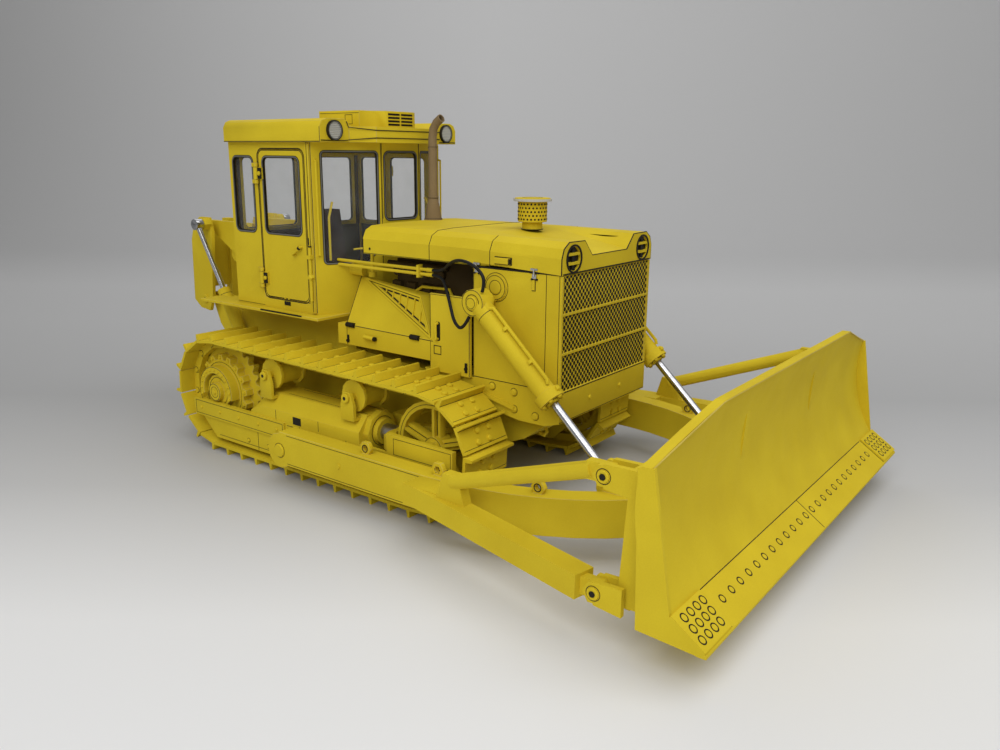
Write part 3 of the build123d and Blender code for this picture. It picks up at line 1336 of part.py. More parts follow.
with BuildPart() as ripper_carriage:
    for hand in (1, -1):
        plate_y = hand * (carriage_plate_y - carriage_plate / 2)
        with BuildSketch(side(plate_y)):
            Polygon((carriage_pin_x + 2.2, carriage_low_z - 4.8),
                    (carriage_pin_x - 3.8, carriage_low_z - 4.1),
                    (ripper_back_x, carriage_low_z - 1),
                    (ripper_back_x + 1, carriage_top_z - 6), (carriage_pin_x - 4.3, ripper_eye_z),
                    (carriage_pin_x - 0.3, ripper_eye_z + 2.5),
                    (ripper_eye_x + 0.8, ripper_eye_z + 2.5),
                    (ripper_eye_x + 2.3, ripper_eye_z - 3),
                    (carriage_pin_x + 4.7, carriage_low_z + 1.7), align=None)
        extrude(amount=carriage_plate / 2, both=True)
        with BuildSketch(side(plate_y)):
            with Locations((carriage_pin_x, carriage_low_z), (carriage_pin_x, carriage_top_z)):
                Circle(ripper_pin_radius)
        extrude(amount=hand * (carriage_plate_y - link_plate_y + link_plate / 2 + 0.2))
        with BuildSketch(side(hand * (ripper_cylinder_y - 1.8))):
            with Locations((ripper_eye_x, ripper_eye_z)):
                RegularPolygon(2.4, small_sides)
        extrude(amount=hand * (ripper_cylinder_y - 1.8 - carriage_plate_y + overlap))
    with BuildSketch(side(0)):
        Polygon((ripper_back_x + 1.2, carriage_low_z + 3.7),
                (ripper_back_x + 3, carriage_low_z + 3.7),
                (ripper_back_x + 3, carriage_top_z - 4), (ripper_back_x + 1.2, carriage_top_z - 4),
                align=None)
    extrude(amount=carriage_plate_y - carriage_plate / 2, both=True)
    with BuildSketch(side(0)):
        shank_rear_x = ripper_back_x + 0.8
        Polygon((shank_rear_x, carriage_top_z + 2), (shank_rear_x + 3.8, carriage_top_z + 2),
                (shank_rear_x + 4.2, shank_tip_z + 21), (shank_rear_x + 8.8, shank_tip_z + 5),
                (shank_rear_x + 12.3, shank_tip_z), (shank_rear_x + 6.8, shank_tip_z + 3),
                (shank_rear_x + 1.8, shank_tip_z + 15), (shank_rear_x, shank_tip_z + 31),
                align=None)
    extrude(amount=1.6, both=True)
keep("ripper_carriage", ripper_carriage)

ripper_top = (ripper_eye_x, ripper_cylinder_y, ripper_eye_z)
ripper_foot = (ripper_base_x, ripper_cylinder_y, ripper_base_z)
ripper_length = distance(ripper_foot, ripper_top)
ripper_line = tube_plane(ripper_foot, ripper_top)
with BuildPart() as ripper_barrel:
    with BuildSketch(ripper_line):
        RegularPolygon(ripper_barrel_radius, round_sides)
    extrude(amount=ripper_gland_at)
    with BuildSketch(side(ripper_cylinder_y)):
        with Locations((ripper_base_x, ripper_base_z)):
            RegularPolygon(ripper_barrel_radius + 0.5, round_sides)
    extrude(amount=ripper_eye_half, both=True)
    with BuildSketch(ripper_line.offset(ripper_rod_back - ripper_stroke - barrel_end_gap)):
        RegularPolygon(ripper_rod_radius + pin_clearance, small_sides, major_radius=False)
    extrude(amount=ripper_gland_at, mode=Mode.SUBTRACT)
    with BuildSketch(side(ripper_cylinder_y)):
        with Locations((ripper_base_x, ripper_base_z)):
            RegularPolygon(ripper_pin_radius + pin_clearance, small_sides, major_radius=False)
    extrude(amount=ripper_eye_half + 1, both=True, mode=Mode.SUBTRACT)
keep_pair("ripper_barrel", ripper_barrel)

with BuildPart() as ripper_rod:
    with BuildSketch(ripper_line.offset(ripper_rod_back)):
        Circle(ripper_rod_radius)
    extrude(amount=ripper_length - ripper_rod_back - 1.4)
    with BuildSketch(side(ripper_cylinder_y)):
        with Locations((ripper_eye_x, ripper_eye_z)):
            RegularPolygon(rod_eye_radius, round_sides)
    extrude(amount=lift_rod_eye_half, both=True)
keep_pair("ripper_rod", ripper_rod)
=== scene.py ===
"""Looks of a 1:25 card model of a crawler bulldozer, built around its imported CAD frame.

Measures in the tables are millimetres of the model. Lengths along the machine are counted
forward from the sprocket's axle, y to the driver's left and z up, as Datum turns them into the
frame's metres.
"""
from __future__ import annotations

import json
import logging
import math
from dataclasses import dataclass, field
from enum import Enum
from typing import Sequence

import bmesh
import bpy
from mathutils import Matrix, Vector


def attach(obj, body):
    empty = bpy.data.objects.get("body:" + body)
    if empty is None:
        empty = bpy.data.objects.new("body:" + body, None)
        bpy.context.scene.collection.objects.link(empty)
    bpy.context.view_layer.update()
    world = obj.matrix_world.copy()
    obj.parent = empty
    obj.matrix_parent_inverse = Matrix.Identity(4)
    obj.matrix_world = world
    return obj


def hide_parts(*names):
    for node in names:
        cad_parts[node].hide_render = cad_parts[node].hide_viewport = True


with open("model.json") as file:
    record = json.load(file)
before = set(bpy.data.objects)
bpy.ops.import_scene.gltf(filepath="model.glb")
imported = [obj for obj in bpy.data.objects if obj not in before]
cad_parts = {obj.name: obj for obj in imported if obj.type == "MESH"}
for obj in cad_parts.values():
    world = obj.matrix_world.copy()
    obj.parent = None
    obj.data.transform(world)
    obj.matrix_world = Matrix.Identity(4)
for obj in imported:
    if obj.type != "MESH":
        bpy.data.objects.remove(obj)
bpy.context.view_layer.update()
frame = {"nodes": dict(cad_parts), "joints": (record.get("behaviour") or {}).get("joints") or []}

log = logging.getLogger("card_bulldozer")
MM = 0.001
WELD_GAP = 1e-6
SUNK = -0.02
DRESSED = "dressed_"

Point = Sequence[float]


# ------------------------------------------------------------------ places
@dataclass(frozen=True)
class Datum:
    """The machine's own origin in the frame: the sprocket's axle line at floor level.

    The blade's trunnion lies trunnion_reach ahead of the axle, and the record gives its place.
    """

    trunnion_reach: float = 48.3

    @property
    def axle_x(self) -> float:
        """X of the sprocket's axle in the frame, in metres."""
        trunnion = next(j for j in frame["joints"] if j["name"] == "blade_lift")
        return trunnion["pos_m"][0] - self.trunnion_reach * MM

    def at(self, x: float, y: float, z: float) -> Vector:
        """Frame point of a machine point.

        Args:
            x: Forward of the sprocket's axle, in millimetres.
            y: To the driver's left of the centre plane, in millimetres.
            z: Above the floor, in millimetres.

        Returns:
            The same point in the frame, in metres.
        """
        return Vector((self.axle_x + x * MM, y * MM, z * MM))


DATUM = Datum()


class Hand(Enum):
    """The two sides of the machine, as the sign of y."""

    LEFT = 1
    RIGHT = -1

    @property
    def label(self) -> str:
        """The side's word in the names of nodes and pieces."""
        return self.name.lower()


# ------------------------------------------------------------------ shader kit
class Wire:
    """A shader socket whose arithmetic adds Math nodes to its material."""

    def __init__(self, sheet: "Shader", socket: bpy.types.NodeSocket) -> None:
        """Wraps a socket of the given shader."""
        self.sheet = sheet
        self.socket = socket

    def _math(self, operation: str, *terms: "Wire | float") -> "Wire":
        """A Math node on up to three terms."""
        node = self.sheet.node("ShaderNodeMath", {"operation": operation},
                               dict(enumerate(terms)))
        return Wire(self.sheet, node.outputs[0])

    def __add__(self, other: "Wire | float") -> "Wire":
        """Sum of two values."""
        return self._math("ADD", self, other)

    __radd__ = __add__

    def __sub__(self, other: "Wire | float") -> "Wire":
        """Difference of two values."""
        return self._math("SUBTRACT", self, other)

    def __rsub__(self, other: float) -> "Wire":
        """Number less this value."""
        return self._math("SUBTRACT", other, self)

    def __mul__(self, other: "Wire | float") -> "Wire":
        """Product of two values."""
        return self._math("MULTIPLY", self, other)

    __rmul__ = __mul__

    def clamped(self) -> "Wire":
        """The value held between 0 and 1."""
        return self._math("MINIMUM", self._math("MAXIMUM", self, 0.0), 1.0)


class Shader:
    """One material's node tree, with a Principled surface to dress."""

    def __init__(self, name: str) -> None:
        """Makes an empty material with a Principled surface wired to its output."""
        self.material = bpy.data.materials.new(DRESSED + name)
        self.material.use_nodes = True
        self.tree = self.material.node_tree
        self.tree.nodes.clear()
        self.surface = self.node("ShaderNodeBsdfPrincipled")
        output = self.node("ShaderNodeOutputMaterial")
        self.tree.links.new(self.surface.outputs["BSDF"], output.inputs["Surface"])

    def node(self, kind: str, settings: dict | None = None,
             inputs: dict | None = None) -> bpy.types.Node:
        """Adds a node.

        Args:
            kind: Blender's type name of the node.
            settings: Properties set first; "stops" fills a colour ramp.
            inputs: Values or links, by a socket's name or number.

        Returns:
            The new node.
        """
        made = self.tree.nodes.new(kind)
        for key, value in (settings or {}).items():
            if key == "stops":
                self._fill_ramp(made.color_ramp, value)
            else:
                setattr(made, key, value)
        for key, value in (inputs or {}).items():
            self.feed(made.inputs[key], value)
        return made

    def feed(self, socket: bpy.types.NodeSocket, value: "Wire | float | Sequence[float]") -> None:
        """Links or sets one socket."""
        if isinstance(value, Wire):
            self.tree.links.new(value.socket, socket)
        else:
            socket.default_value = value

    @staticmethod
    def _fill_ramp(ramp: bpy.types.ColorRamp, stops: Sequence[tuple[float, float]]) -> None:
        """Sets a grey ramp's stops, each a place and a level."""
        while len(ramp.elements) < len(stops):
            ramp.elements.new(0.5)
        for element, (place, level) in zip(ramp.elements, stops):
            element.position = place
            element.color = (level, level, level, 1)

    def wire(self, node: bpy.types.Node, output: int | str = 0) -> Wire:
        """An output of a node, ready for arithmetic."""
        return Wire(self, node.outputs[output])

    def place(self) -> Wire:
        """The surface point in the piece's own metres."""
        return self.wire(self.node("ShaderNodeTexCoord"), "Object")

    def noise(self, scale: float, detail: float = 2.0, roughness: float = 0.5) -> Wire:
        """Noise over the surface, about 0 to 1.

        Args:
            scale: Blotches to the metre.
            detail: Octaves of finer noise.
            roughness: Strength of each octave beside the last.

        Returns:
            The noise's value.
        """
        return self.wire(self.node("ShaderNodeTexNoise", {}, {
            "Vector": self.place(), "Scale": scale, "Detail": detail, "Roughness": roughness}))

    def mix(self, share: "Wire | float", first: "Wire | Sequence[float]",
            second: "Wire | Sequence[float]") -> Wire:
        """Blend of two colours.

        Args:
            share: Weight of the second colour.
            first: Colour at share 0.
            second: Colour at share 1.

        Returns:
            The mixed colour.
        """
        made = self.node("ShaderNodeMix", {"data_type": "RGBA"},
                         {0: share, 6: first, 7: second})
        return self.wire(made, 2)

    def bump(self, height: Wire, depth: float, strength: float = 1.0) -> None:
        """Feeds the surface's normal from a height.

        Args:
            height: Height, about 0 to 1.
            depth: Depth of a unit of height, in metres.
            strength: Share of the effect.
        """
        made = self.node("ShaderNodeBump", {}, {
            "Strength": strength, "Distance": depth, "Height": height})
        self.feed(self.surface.inputs["Normal"], self.wire(made))

    def set(self, **sockets: "Wire | float | Sequence[float]") -> "Shader":
        """Sets sockets of the surface, with _ for the spaces in their names."""
        for key, value in sockets.items():
            self.feed(self.surface.inputs[key.replace("_", " ")], value)
        return self


def tint(red: int, green: int, blue: int, alpha: float = 1.0) -> tuple[float, ...]:
    """Linear colour of an sRGB one."""
    def linear(level: int) -> float:
        """One channel made linear."""
        share = level / 255
        return share / 12.92 if share <= 0.04045 else ((share + 0.055) / 1.055) ** 2.4
    return linear(red), linear(green), linear(blue), alpha


# ------------------------------------------------------------------ finishes
@dataclass(frozen=True)
class CardFinish:
    """Printed card: a flat ink with paper grain, faint blotches and a dull sheen."""

    name: str
    ink: tuple[float, ...]
    shade: tuple[float, ...]
    roughness: float = 0.72
    grain_scale: float = 2600.0
    blotch_scale: float = 60.0
    grain_depth: float = 0.00003

    def material(self) -> bpy.types.Material:
        """Builds the material."""
        sheet = Shader(self.name)
        blotch = (sheet.noise(self.blotch_scale, 3.0) - 0.5) * 1.6 + 0.4
        fleck = (sheet.noise(self.grain_scale, 1.0) - 0.5) * 0.5
        colour = sheet.mix((blotch + fleck).clamped(), self.ink, self.shade)
        sheet.set(Base_Color=colour, Specular_IOR_Level=0.14,
                  Roughness=(self.roughness + (sheet.noise(180.0) - 0.5) * 0.16).clamped())
        sheet.bump(sheet.noise(self.grain_scale, 3.0, 0.6), self.grain_depth, 0.6)
        return sheet.material


@dataclass(frozen=True)
class MetalFinish:
    """Drawn wire or foil, bright with fine scratches."""

    name: str
    colour: tuple[float, ...]
    roughness: float = 0.22

    def material(self) -> bpy.types.Material:
        """Builds the material."""
        sheet = Shader(self.name)
        scuff = sheet.noise(900.0, 3.0)
        sheet.set(Base_Color=sheet.mix(scuff, self.colour, tint(150, 150, 152)), Metallic=1.0,
                  Roughness=(self.roughness + (scuff - 0.5) * 0.2).clamped())
        sheet.bump(scuff, 0.00002, 0.4)
        return sheet.material


@dataclass(frozen=True)
class FilmFinish:
    """Clear plastic film of the windows, faintly tinted and dusty."""

    name: str
    colour: tuple[float, ...]
    haze: float = 0.04

    def material(self) -> bpy.types.Material:
        """Builds the material."""
        sheet = Shader(self.name)
        dust = (sheet.noise(140.0, 4.0) - 0.5) * 0.08
        sheet.set(Base_Color=self.colour, Roughness=0.06, Specular_IOR_Level=0.2,
                  Alpha=(self.haze + dust).clamped())
        return sheet.material


class Finish(Enum):
    """Every finish of the model."""

    YELLOW = CardFinish("yellow_card", tint(214, 190, 40), tint(198, 172, 33))
    EDGE = CardFinish("card_edge", tint(206, 184, 84), tint(176, 154, 64))
    BROWN = CardFinish("brown_card", tint(136, 116, 84), tint(118, 99, 71))
    # Yellow card darkened as painted shade, for the cab's inside and the engine bay.
    SHADE = CardFinish("shaded_card", tint(72, 57, 28), tint(52, 41, 22))
    DARK = CardFinish("dark_card", tint(44, 42, 38), tint(30, 29, 26))
    INK = CardFinish("black_ink", tint(40, 36, 28), tint(26, 24, 20), roughness=0.5)
    GREY = CardFinish("grey_card", tint(112, 112, 106), tint(94, 94, 90))
    SEAT = CardFinish("seat_card", tint(66, 34, 32), tint(48, 24, 24))
    LAMP = CardFinish("lamp_foil", tint(196, 196, 190), tint(170, 170, 166), roughness=0.35)
    RUBBER = CardFinish("hose_rubber", tint(34, 34, 34), tint(22, 22, 22), roughness=0.42)
    CHROME = MetalFinish("chrome_rod", tint(218, 219, 222))
    STEEL = MetalFinish("steel_foil", tint(190, 190, 192), roughness=0.34)
    FILM = FilmFinish("window_film", tint(206, 214, 214))

    @property
    def material(self) -> bpy.types.Material:
        """The finish's material, made once."""
        return bpy.data.materials.get(DRESSED + self.value.name) or self.value.material()

    @property
    def slot(self) -> str:
        """The record's slot that a piece of this finish belongs to."""
        shared = {Finish.EDGE: "yellow_card", Finish.SHADE: "yellow_card",
                  Finish.INK: "dark_card", Finish.GREY: "lamp_foil",
                  Finish.STEEL: "chrome_rod"}
        return shared.get(self, self.value.name)


# ------------------------------------------------------------------ working planes and stock
@dataclass(frozen=True)
class Face:
    """A working plane on the machine: u and v lie in it and w stands out of it."""

    origin: Vector
    right: Vector
    up: Vector
    out: Vector

    def at(self, u: float, v: float, w: float = 0.0) -> Vector:
        """Frame point, in metres, of a place given in millimetres of the plane."""
        return DATUM.at(*(self.origin + self.right * u + self.up * v + self.out * w))

    @classmethod
    def beside(cls, x: float, y: float, z: float, out: float) -> "Face":
        """Upright plane along the machine, from a point and facing one side of y."""
        return cls(Vector((x, y, z)), Vector((1, 0, 0)), Vector((0, 0, 1)), Vector((0, out, 0)))

    @classmethod
    def flank(cls, hand: Hand, y: float) -> "Face":
        """Upright plane along the machine: u is x and v is z."""
        return cls.beside(0, hand.value * y, 0, hand.value)

    @classmethod
    def across(cls, x: float, out: float = 1.0) -> "Face":
        """Upright plane across the machine: u is y and v is z."""
        return cls(Vector((x, 0, 0)), Vector((0, 1, 0)), Vector((0, 0, 1)),
                   Vector((out, 0, 0)))

    @classmethod
    def level(cls, z: float) -> "Face":
        """Level plane: u is x and v is y."""
        return cls(Vector((0, 0, z)), Vector((1, 0, 0)), Vector((0, 1, 0)),
                   Vector((0, 0, 1)))

    @classmethod
    def through(cls, origin: Point, ahead: Point, beside: Point) -> "Face":
        """Slanted plane from a corner: u runs to ahead, v towards beside, out faces up."""
        start = Vector(origin)
        right = (Vector(ahead) - start).normalized()
        out = right.cross(Vector(beside) - start).normalized()
        up = out.cross(right)
        return cls(start, right, up, out if out.z > 0 else -out)

    def lifted(self, w: float) -> "Face":
        """The same plane moved outwards."""
        return Face(self.origin + self.out * w, self.right, self.up, self.out)


def circle(u: float, v: float, radius: float, sides: int = 16, turn: float = 0.0) -> list[Point]:
    """Outline of a circle in a plane's millimetres."""
    return [(u + radius * math.cos(turn + 2 * math.pi * i / sides),
             v + radius * math.sin(turn + 2 * math.pi * i / sides)) for i in range(sides)]


def fan(u: float, v: float, radius: float, count: int, first: float, step: float) -> list[Point]:
    """Places on a circle, from a first angle on by a step, both in degrees."""
    turns = [math.radians(first + step * i) for i in range(count)]
    return [(u + radius * math.cos(turn), v + radius * math.sin(turn)) for turn in turns]


def mirrored(hand: Hand, route: Sequence[Point]) -> list[Vector]:
    """Frame points of a route given for the left side, on either side."""
    return [DATUM.at(x, hand.value * y, z) for x, y, z in route]


def box_outline(u0: float, v0: float, u1: float, v1: float) -> list[Point]:
    """Outline of a rectangle between two corners."""
    return [(u0, v0), (u1, v0), (u1, v1), (u0, v1)]


def inset(outline: Sequence[Point], amount: float) -> list[Point]:
    """Convex outline moved inwards, or outwards where the amount is negative."""
    corners = [Vector(corner) for corner in outline]
    middle = sum(corners, Vector((0, 0))) / len(corners)
    moved = []
    for before, corner, after in zip(corners[-1:] + corners[:-1], corners,
                                     corners[1:] + corners[:1]):
        first, second = (corner - before).normalized(), (after - corner).normalized()
        normal = [Vector((-edge.y, edge.x)) for edge in (first, second)]
        if normal[0].dot(middle - corner) < 0:
            normal = [-side for side in normal]
        moved.append(tuple(corner + (normal[0] + normal[1])
                           * (amount / (1 + normal[0].dot(normal[1])))))
    return moved


def rounded(outline: Sequence[Point], radius: float, steps: int = 4) -> list[Point]:
    """Convex outline with each corner turned into a short arc."""
    corners = [Vector(corner) for corner in outline]
    points = []
    for before, corner, after in zip(corners[-1:] + corners[:-1], corners,
                                     corners[1:] + corners[:1]):
        back, ahead = (before - corner).normalized(), (after - corner).normalized()
        half = math.acos(max(-1.0, min(1.0, back.dot(ahead)))) / 2
        reach = radius / math.tan(half)
        heart = corner + (back + ahead).normalized() * (radius / math.sin(half))
        start, end = corner + back * reach - heart, corner + ahead * reach - heart
        for i in range(steps + 1):
            blend = start.lerp(end, i / steps).normalized() * radius
            points.append(tuple(heart + blend))
    return points


class Stock:
    """Cut card and wire of one finish, gathered into one piece."""

    def __init__(self) -> None:
        """Starts with nothing cut."""
        self.mesh = bmesh.new()

    def skin(self, loops: Sequence[Sequence[Vector]], closed: bool = False) -> None:
        """Joins loops of equal count into a solid.

        Args:
            loops: Rings of points, in metres.
            closed: Whether the last loop meets the first, instead of both being capped.
        """
        rings = [[self.mesh.verts.new(point) for point in loop] for loop in loops]
        faces = []
        for near, far in zip(rings, rings[1:] + rings[:1] if closed else rings[1:]):
            count = len(near)
            faces += [self.mesh.faces.new((near[i], near[(i + 1) % count],
                                           far[(i + 1) % count], far[i])) for i in range(count)]
        if not closed:
            faces += [self.mesh.faces.new(rings[0]), self.mesh.faces.new(rings[-1])]
        bmesh.ops.recalc_face_normals(self.mesh, faces=faces)

    def plate(self, face: Face, outline: Sequence[Point], low: float, high: float,
              taper: float = 0.0) -> None:
        """A flat piece between two heights over a plane, its top inset by the taper."""
        top = inset(outline, taper) if taper else outline
        self.skin([[face.at(u, v, low) for u, v in outline],
                   [face.at(u, v, high) for u, v in top]])

    def ring(self, face: Face, outer: Sequence[Point], inner: Sequence[Point], low: float,
             high: float) -> None:
        """A frame between two outlines of equal count."""
        self.skin([[face.at(u, v, w) for u, v in outline] for outline, w in
                   ((outer, low), (outer, high), (inner, high), (inner, low))], closed=True)

    def hoop(self, face: Face, u: float, v: float, radius: float, width: float, low: float,
             high: float, sides: int = 24) -> None:
        """A round frame of a given width inside a radius."""
        self.ring(face, circle(u, v, radius, sides), circle(u, v, radius - width, sides),
                  low, high)

    def trace(self, face: Face, u: float, v: float, radius: float, width: float,
              sides: int = 24, high: float = 0.05) -> None:
        """A thin printed circle of a given width inside a radius."""
        self.hoop(face, u, v, radius, width, SUNK, high, sides)

    def boss(self, face: Face, u: float, v: float, radius: float, low: float, high: float,
             sides: int = 16, crown: float = 0.0) -> None:
        """A round piece; crown is how much its top narrows over a last short step."""
        loops = [circle(u, v, radius, sides), circle(u, v, radius, sides)]
        heights = [low, high - crown]
        if crown:
            loops.append(circle(u, v, radius - crown, sides))
            heights.append(high)
        self.skin([[face.at(a, b, w) for a, b in loop] for loop, w in zip(loops, heights)])

    def bolt(self, face: Face, u: float, v: float, radius: float, height: float) -> None:
        """A bolt's six-sided head with a chamfered crown."""
        self.boss(face, u, v, radius, -0.1, height, 6, min(height, radius) * 0.45)

    def bolts(self, face: Face, places: Sequence[Point], radius: float, height: float) -> None:
        """Bolts' heads of one size at several places."""
        for u, v in places:
            self.bolt(face, u, v, radius, height)

    def line(self, face: Face, route: Sequence[Point], width: float, high: float = 0.06,
             closed: bool = False) -> None:
        """A thin printed or scored line along a route on a plane."""
        for start, end in zip(route, [*route[1:], route[0]] if closed else route[1:]):
            a, b = Vector(start), Vector(end)
            run = (b - a).normalized() * (width / 2)
            over = Vector((-run.y, run.x))
            self.plate(face, [a - run - over, b + run - over, b + run + over, a - run + over],
                       SUNK, high)

    def lines(self, face: Face, width: float, *routes: Sequence[Point],
              high: float = 0.06) -> None:
        """Thin lines of one width along several routes."""
        for route in routes:
            self.line(face, route, width, high)

    def wire(self, route: Sequence[Vector], radius: float, sides: int = 10) -> None:
        """A round bar along a route of points in metres, mitred at its turns."""
        spans = [(end - start).normalized() for start, end in zip(route, route[1:])]
        lead = spans[0].orthogonal().normalized()
        loops = []
        for point, before, after in zip(route, [spans[0], *spans], [*spans, spans[-1]]):
            along = (before + after).normalized()
            lead = (lead - along * lead.dot(along)).normalized()
            beside = along.cross(lead)
            loops.append([point + lead * u + beside * v
                          for u, v in circle(0, 0, radius * MM, sides)])
        self.skin(loops)

    def bar(self, face: Face, route: Sequence[Point], radius: float, sides: int = 10) -> None:
        """A round bar along points (u, v, w) of a plane."""
        self.wire([face.at(*point) for point in route], radius, sides)

    def place(self, name: str, body: str, finish: "Finish") -> bpy.types.Object:
        """Turns what was cut into a piece that rides on a body."""
        mesh = bpy.data.meshes.new(name)
        self.mesh.to_mesh(mesh)
        self.mesh.free()
        mesh.materials.append(finish.material)
        piece = bpy.data.objects.new(name, mesh)
        bpy.context.scene.collection.objects.link(piece)
        round_off(piece)
        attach(piece, body)
        finish.slot
        return piece


@dataclass
class Assembly:
    """A sub-assembly whose cut pieces are gathered by finish and body."""

    title: str = ""
    stocks: dict[tuple["Finish", str], Stock] = field(default_factory=dict, init=False)

    def of(self, finish: "Finish", body: str = "tractor") -> Stock:
        """The stock of one finish on one body."""
        return self.stocks.setdefault((finish, body), Stock())

    def pair(self, body: str = "tractor") -> tuple[Stock, Stock]:
        """The yellow and the black stock of one body."""
        return self.of(Finish.YELLOW, body), self.of(Finish.INK, body)

    def cut(self) -> None:
        """Cuts every piece; each sub-assembly has its own."""
        raise NotImplementedError

    def fit(self) -> None:
        """Cuts the pieces and sets them on their bodies."""
        self.cut()
        for (finish, body), stock in self.stocks.items():
            piece = stock.place(f"{self.title}_{body}_{finish.name.lower()}", body, finish)
            log.info("fitted %s: %d faces", piece.name, len(piece.data.polygons))


def round_off(piece: bpy.types.Object, angle: float = 34.0) -> None:
    """Shades a piece smooth, except over edges sharper than the angle, in degrees."""
    name = "rounded_shading"
    group = bpy.data.node_groups.get(name)
    if group is None:
        group = bpy.data.node_groups.new(name, "GeometryNodeTree")
        for flow in ("INPUT", "OUTPUT"):
            group.interface.new_socket("Geometry", in_out=flow, socket_type="NodeSocketGeometry")
        entry, leave = group.nodes.new("NodeGroupInput"), group.nodes.new("NodeGroupOutput")
        faces = group.nodes.new("GeometryNodeSetShadeSmooth")
        edges = group.nodes.new("GeometryNodeSetShadeSmooth")
        edges.domain = "EDGE"
        edges.inputs["Shade Smooth"].default_value = False
        fold = group.nodes.new("GeometryNodeInputMeshEdgeAngle")
        sharp = group.nodes.new("FunctionNodeCompare")
        sharp.operation = "GREATER_THAN"
        sharp.inputs[1].default_value = math.radians(angle)
        links = group.links
        links.new(entry.outputs[0], faces.inputs["Geometry"])
        links.new(faces.outputs[0], edges.inputs["Geometry"])
        links.new(fold.outputs["Unsigned Angle"], sharp.inputs[0])
        links.new(sharp.outputs[0], edges.inputs["Selection"])
        links.new(edges.outputs[0], leave.inputs[0])
    shade = piece.modifiers.new("shade", "NODES")
    shade.node_group = group


# ------------------------------------------------------------------ hoses
@dataclass
class Hoses:
    """Black hoses from the bay's pipes to the lift cylinders, two on each side."""

    diameter: float = 1.0
    routes: dict[str, tuple[tuple[Point, ...], float]] = field(default_factory=lambda: {
        "hose_upper": (((87.1, 24, 72), (91.4, 24, 72), (96.2, 26.8, 75.0), (101.8, 29.6, 77.0),
                        (107.8, 31.6, 76.9), (112.6, 32.6, 75.2), (115.0, 33.0, 72.2),
                        (113.9, 33.0, 69.1)), 35.22),
        "hose_lower": (((87.1, 24, 70.5), (90.8, 24, 70.5), (95.4, 27.2, 67.8),
                        (99.4, 30.0, 63.2), (102.9, 32.4, 58.7), (106.9, 33.4, 56.9),
                        (109.4, 33.4, 61.3)), 31.33)})

    def fit(self) -> None:
        """Lays each hose along its route."""
        for name, (route, length) in self.routes.items():
            for hand in Hand:
                points = mirrored(hand, route)
                curve = bpy.data.curves.new(f"{name}_{hand.label}_cord", "CURVE")
                curve.dimensions = "3D"
                curve.bevel_depth = self.diameter / 2 * MM
                curve.bevel_resolution = 4
                curve.resolution_u = 12
                curve.use_fill_caps = True
                spline = curve.splines.new("NURBS")
                spline.points.add(len(points) - 1)
                for knot, point in zip(spline.points, points):
                    knot.co = (*point, 1)
                spline.order_u = 3
                spline.use_endpoint_u = True
                curve.materials.append(Finish.RUBBER.material)
                hose = bpy.data.objects.new(curve.name, curve)
                bpy.context.scene.collection.objects.link(hose)
                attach(hose, "tractor")
                Finish.RUBBER.slot
                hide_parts(f"{name}_{hand.label}")
                tuple(points[0])
                log.info("laid %s", hose.name)


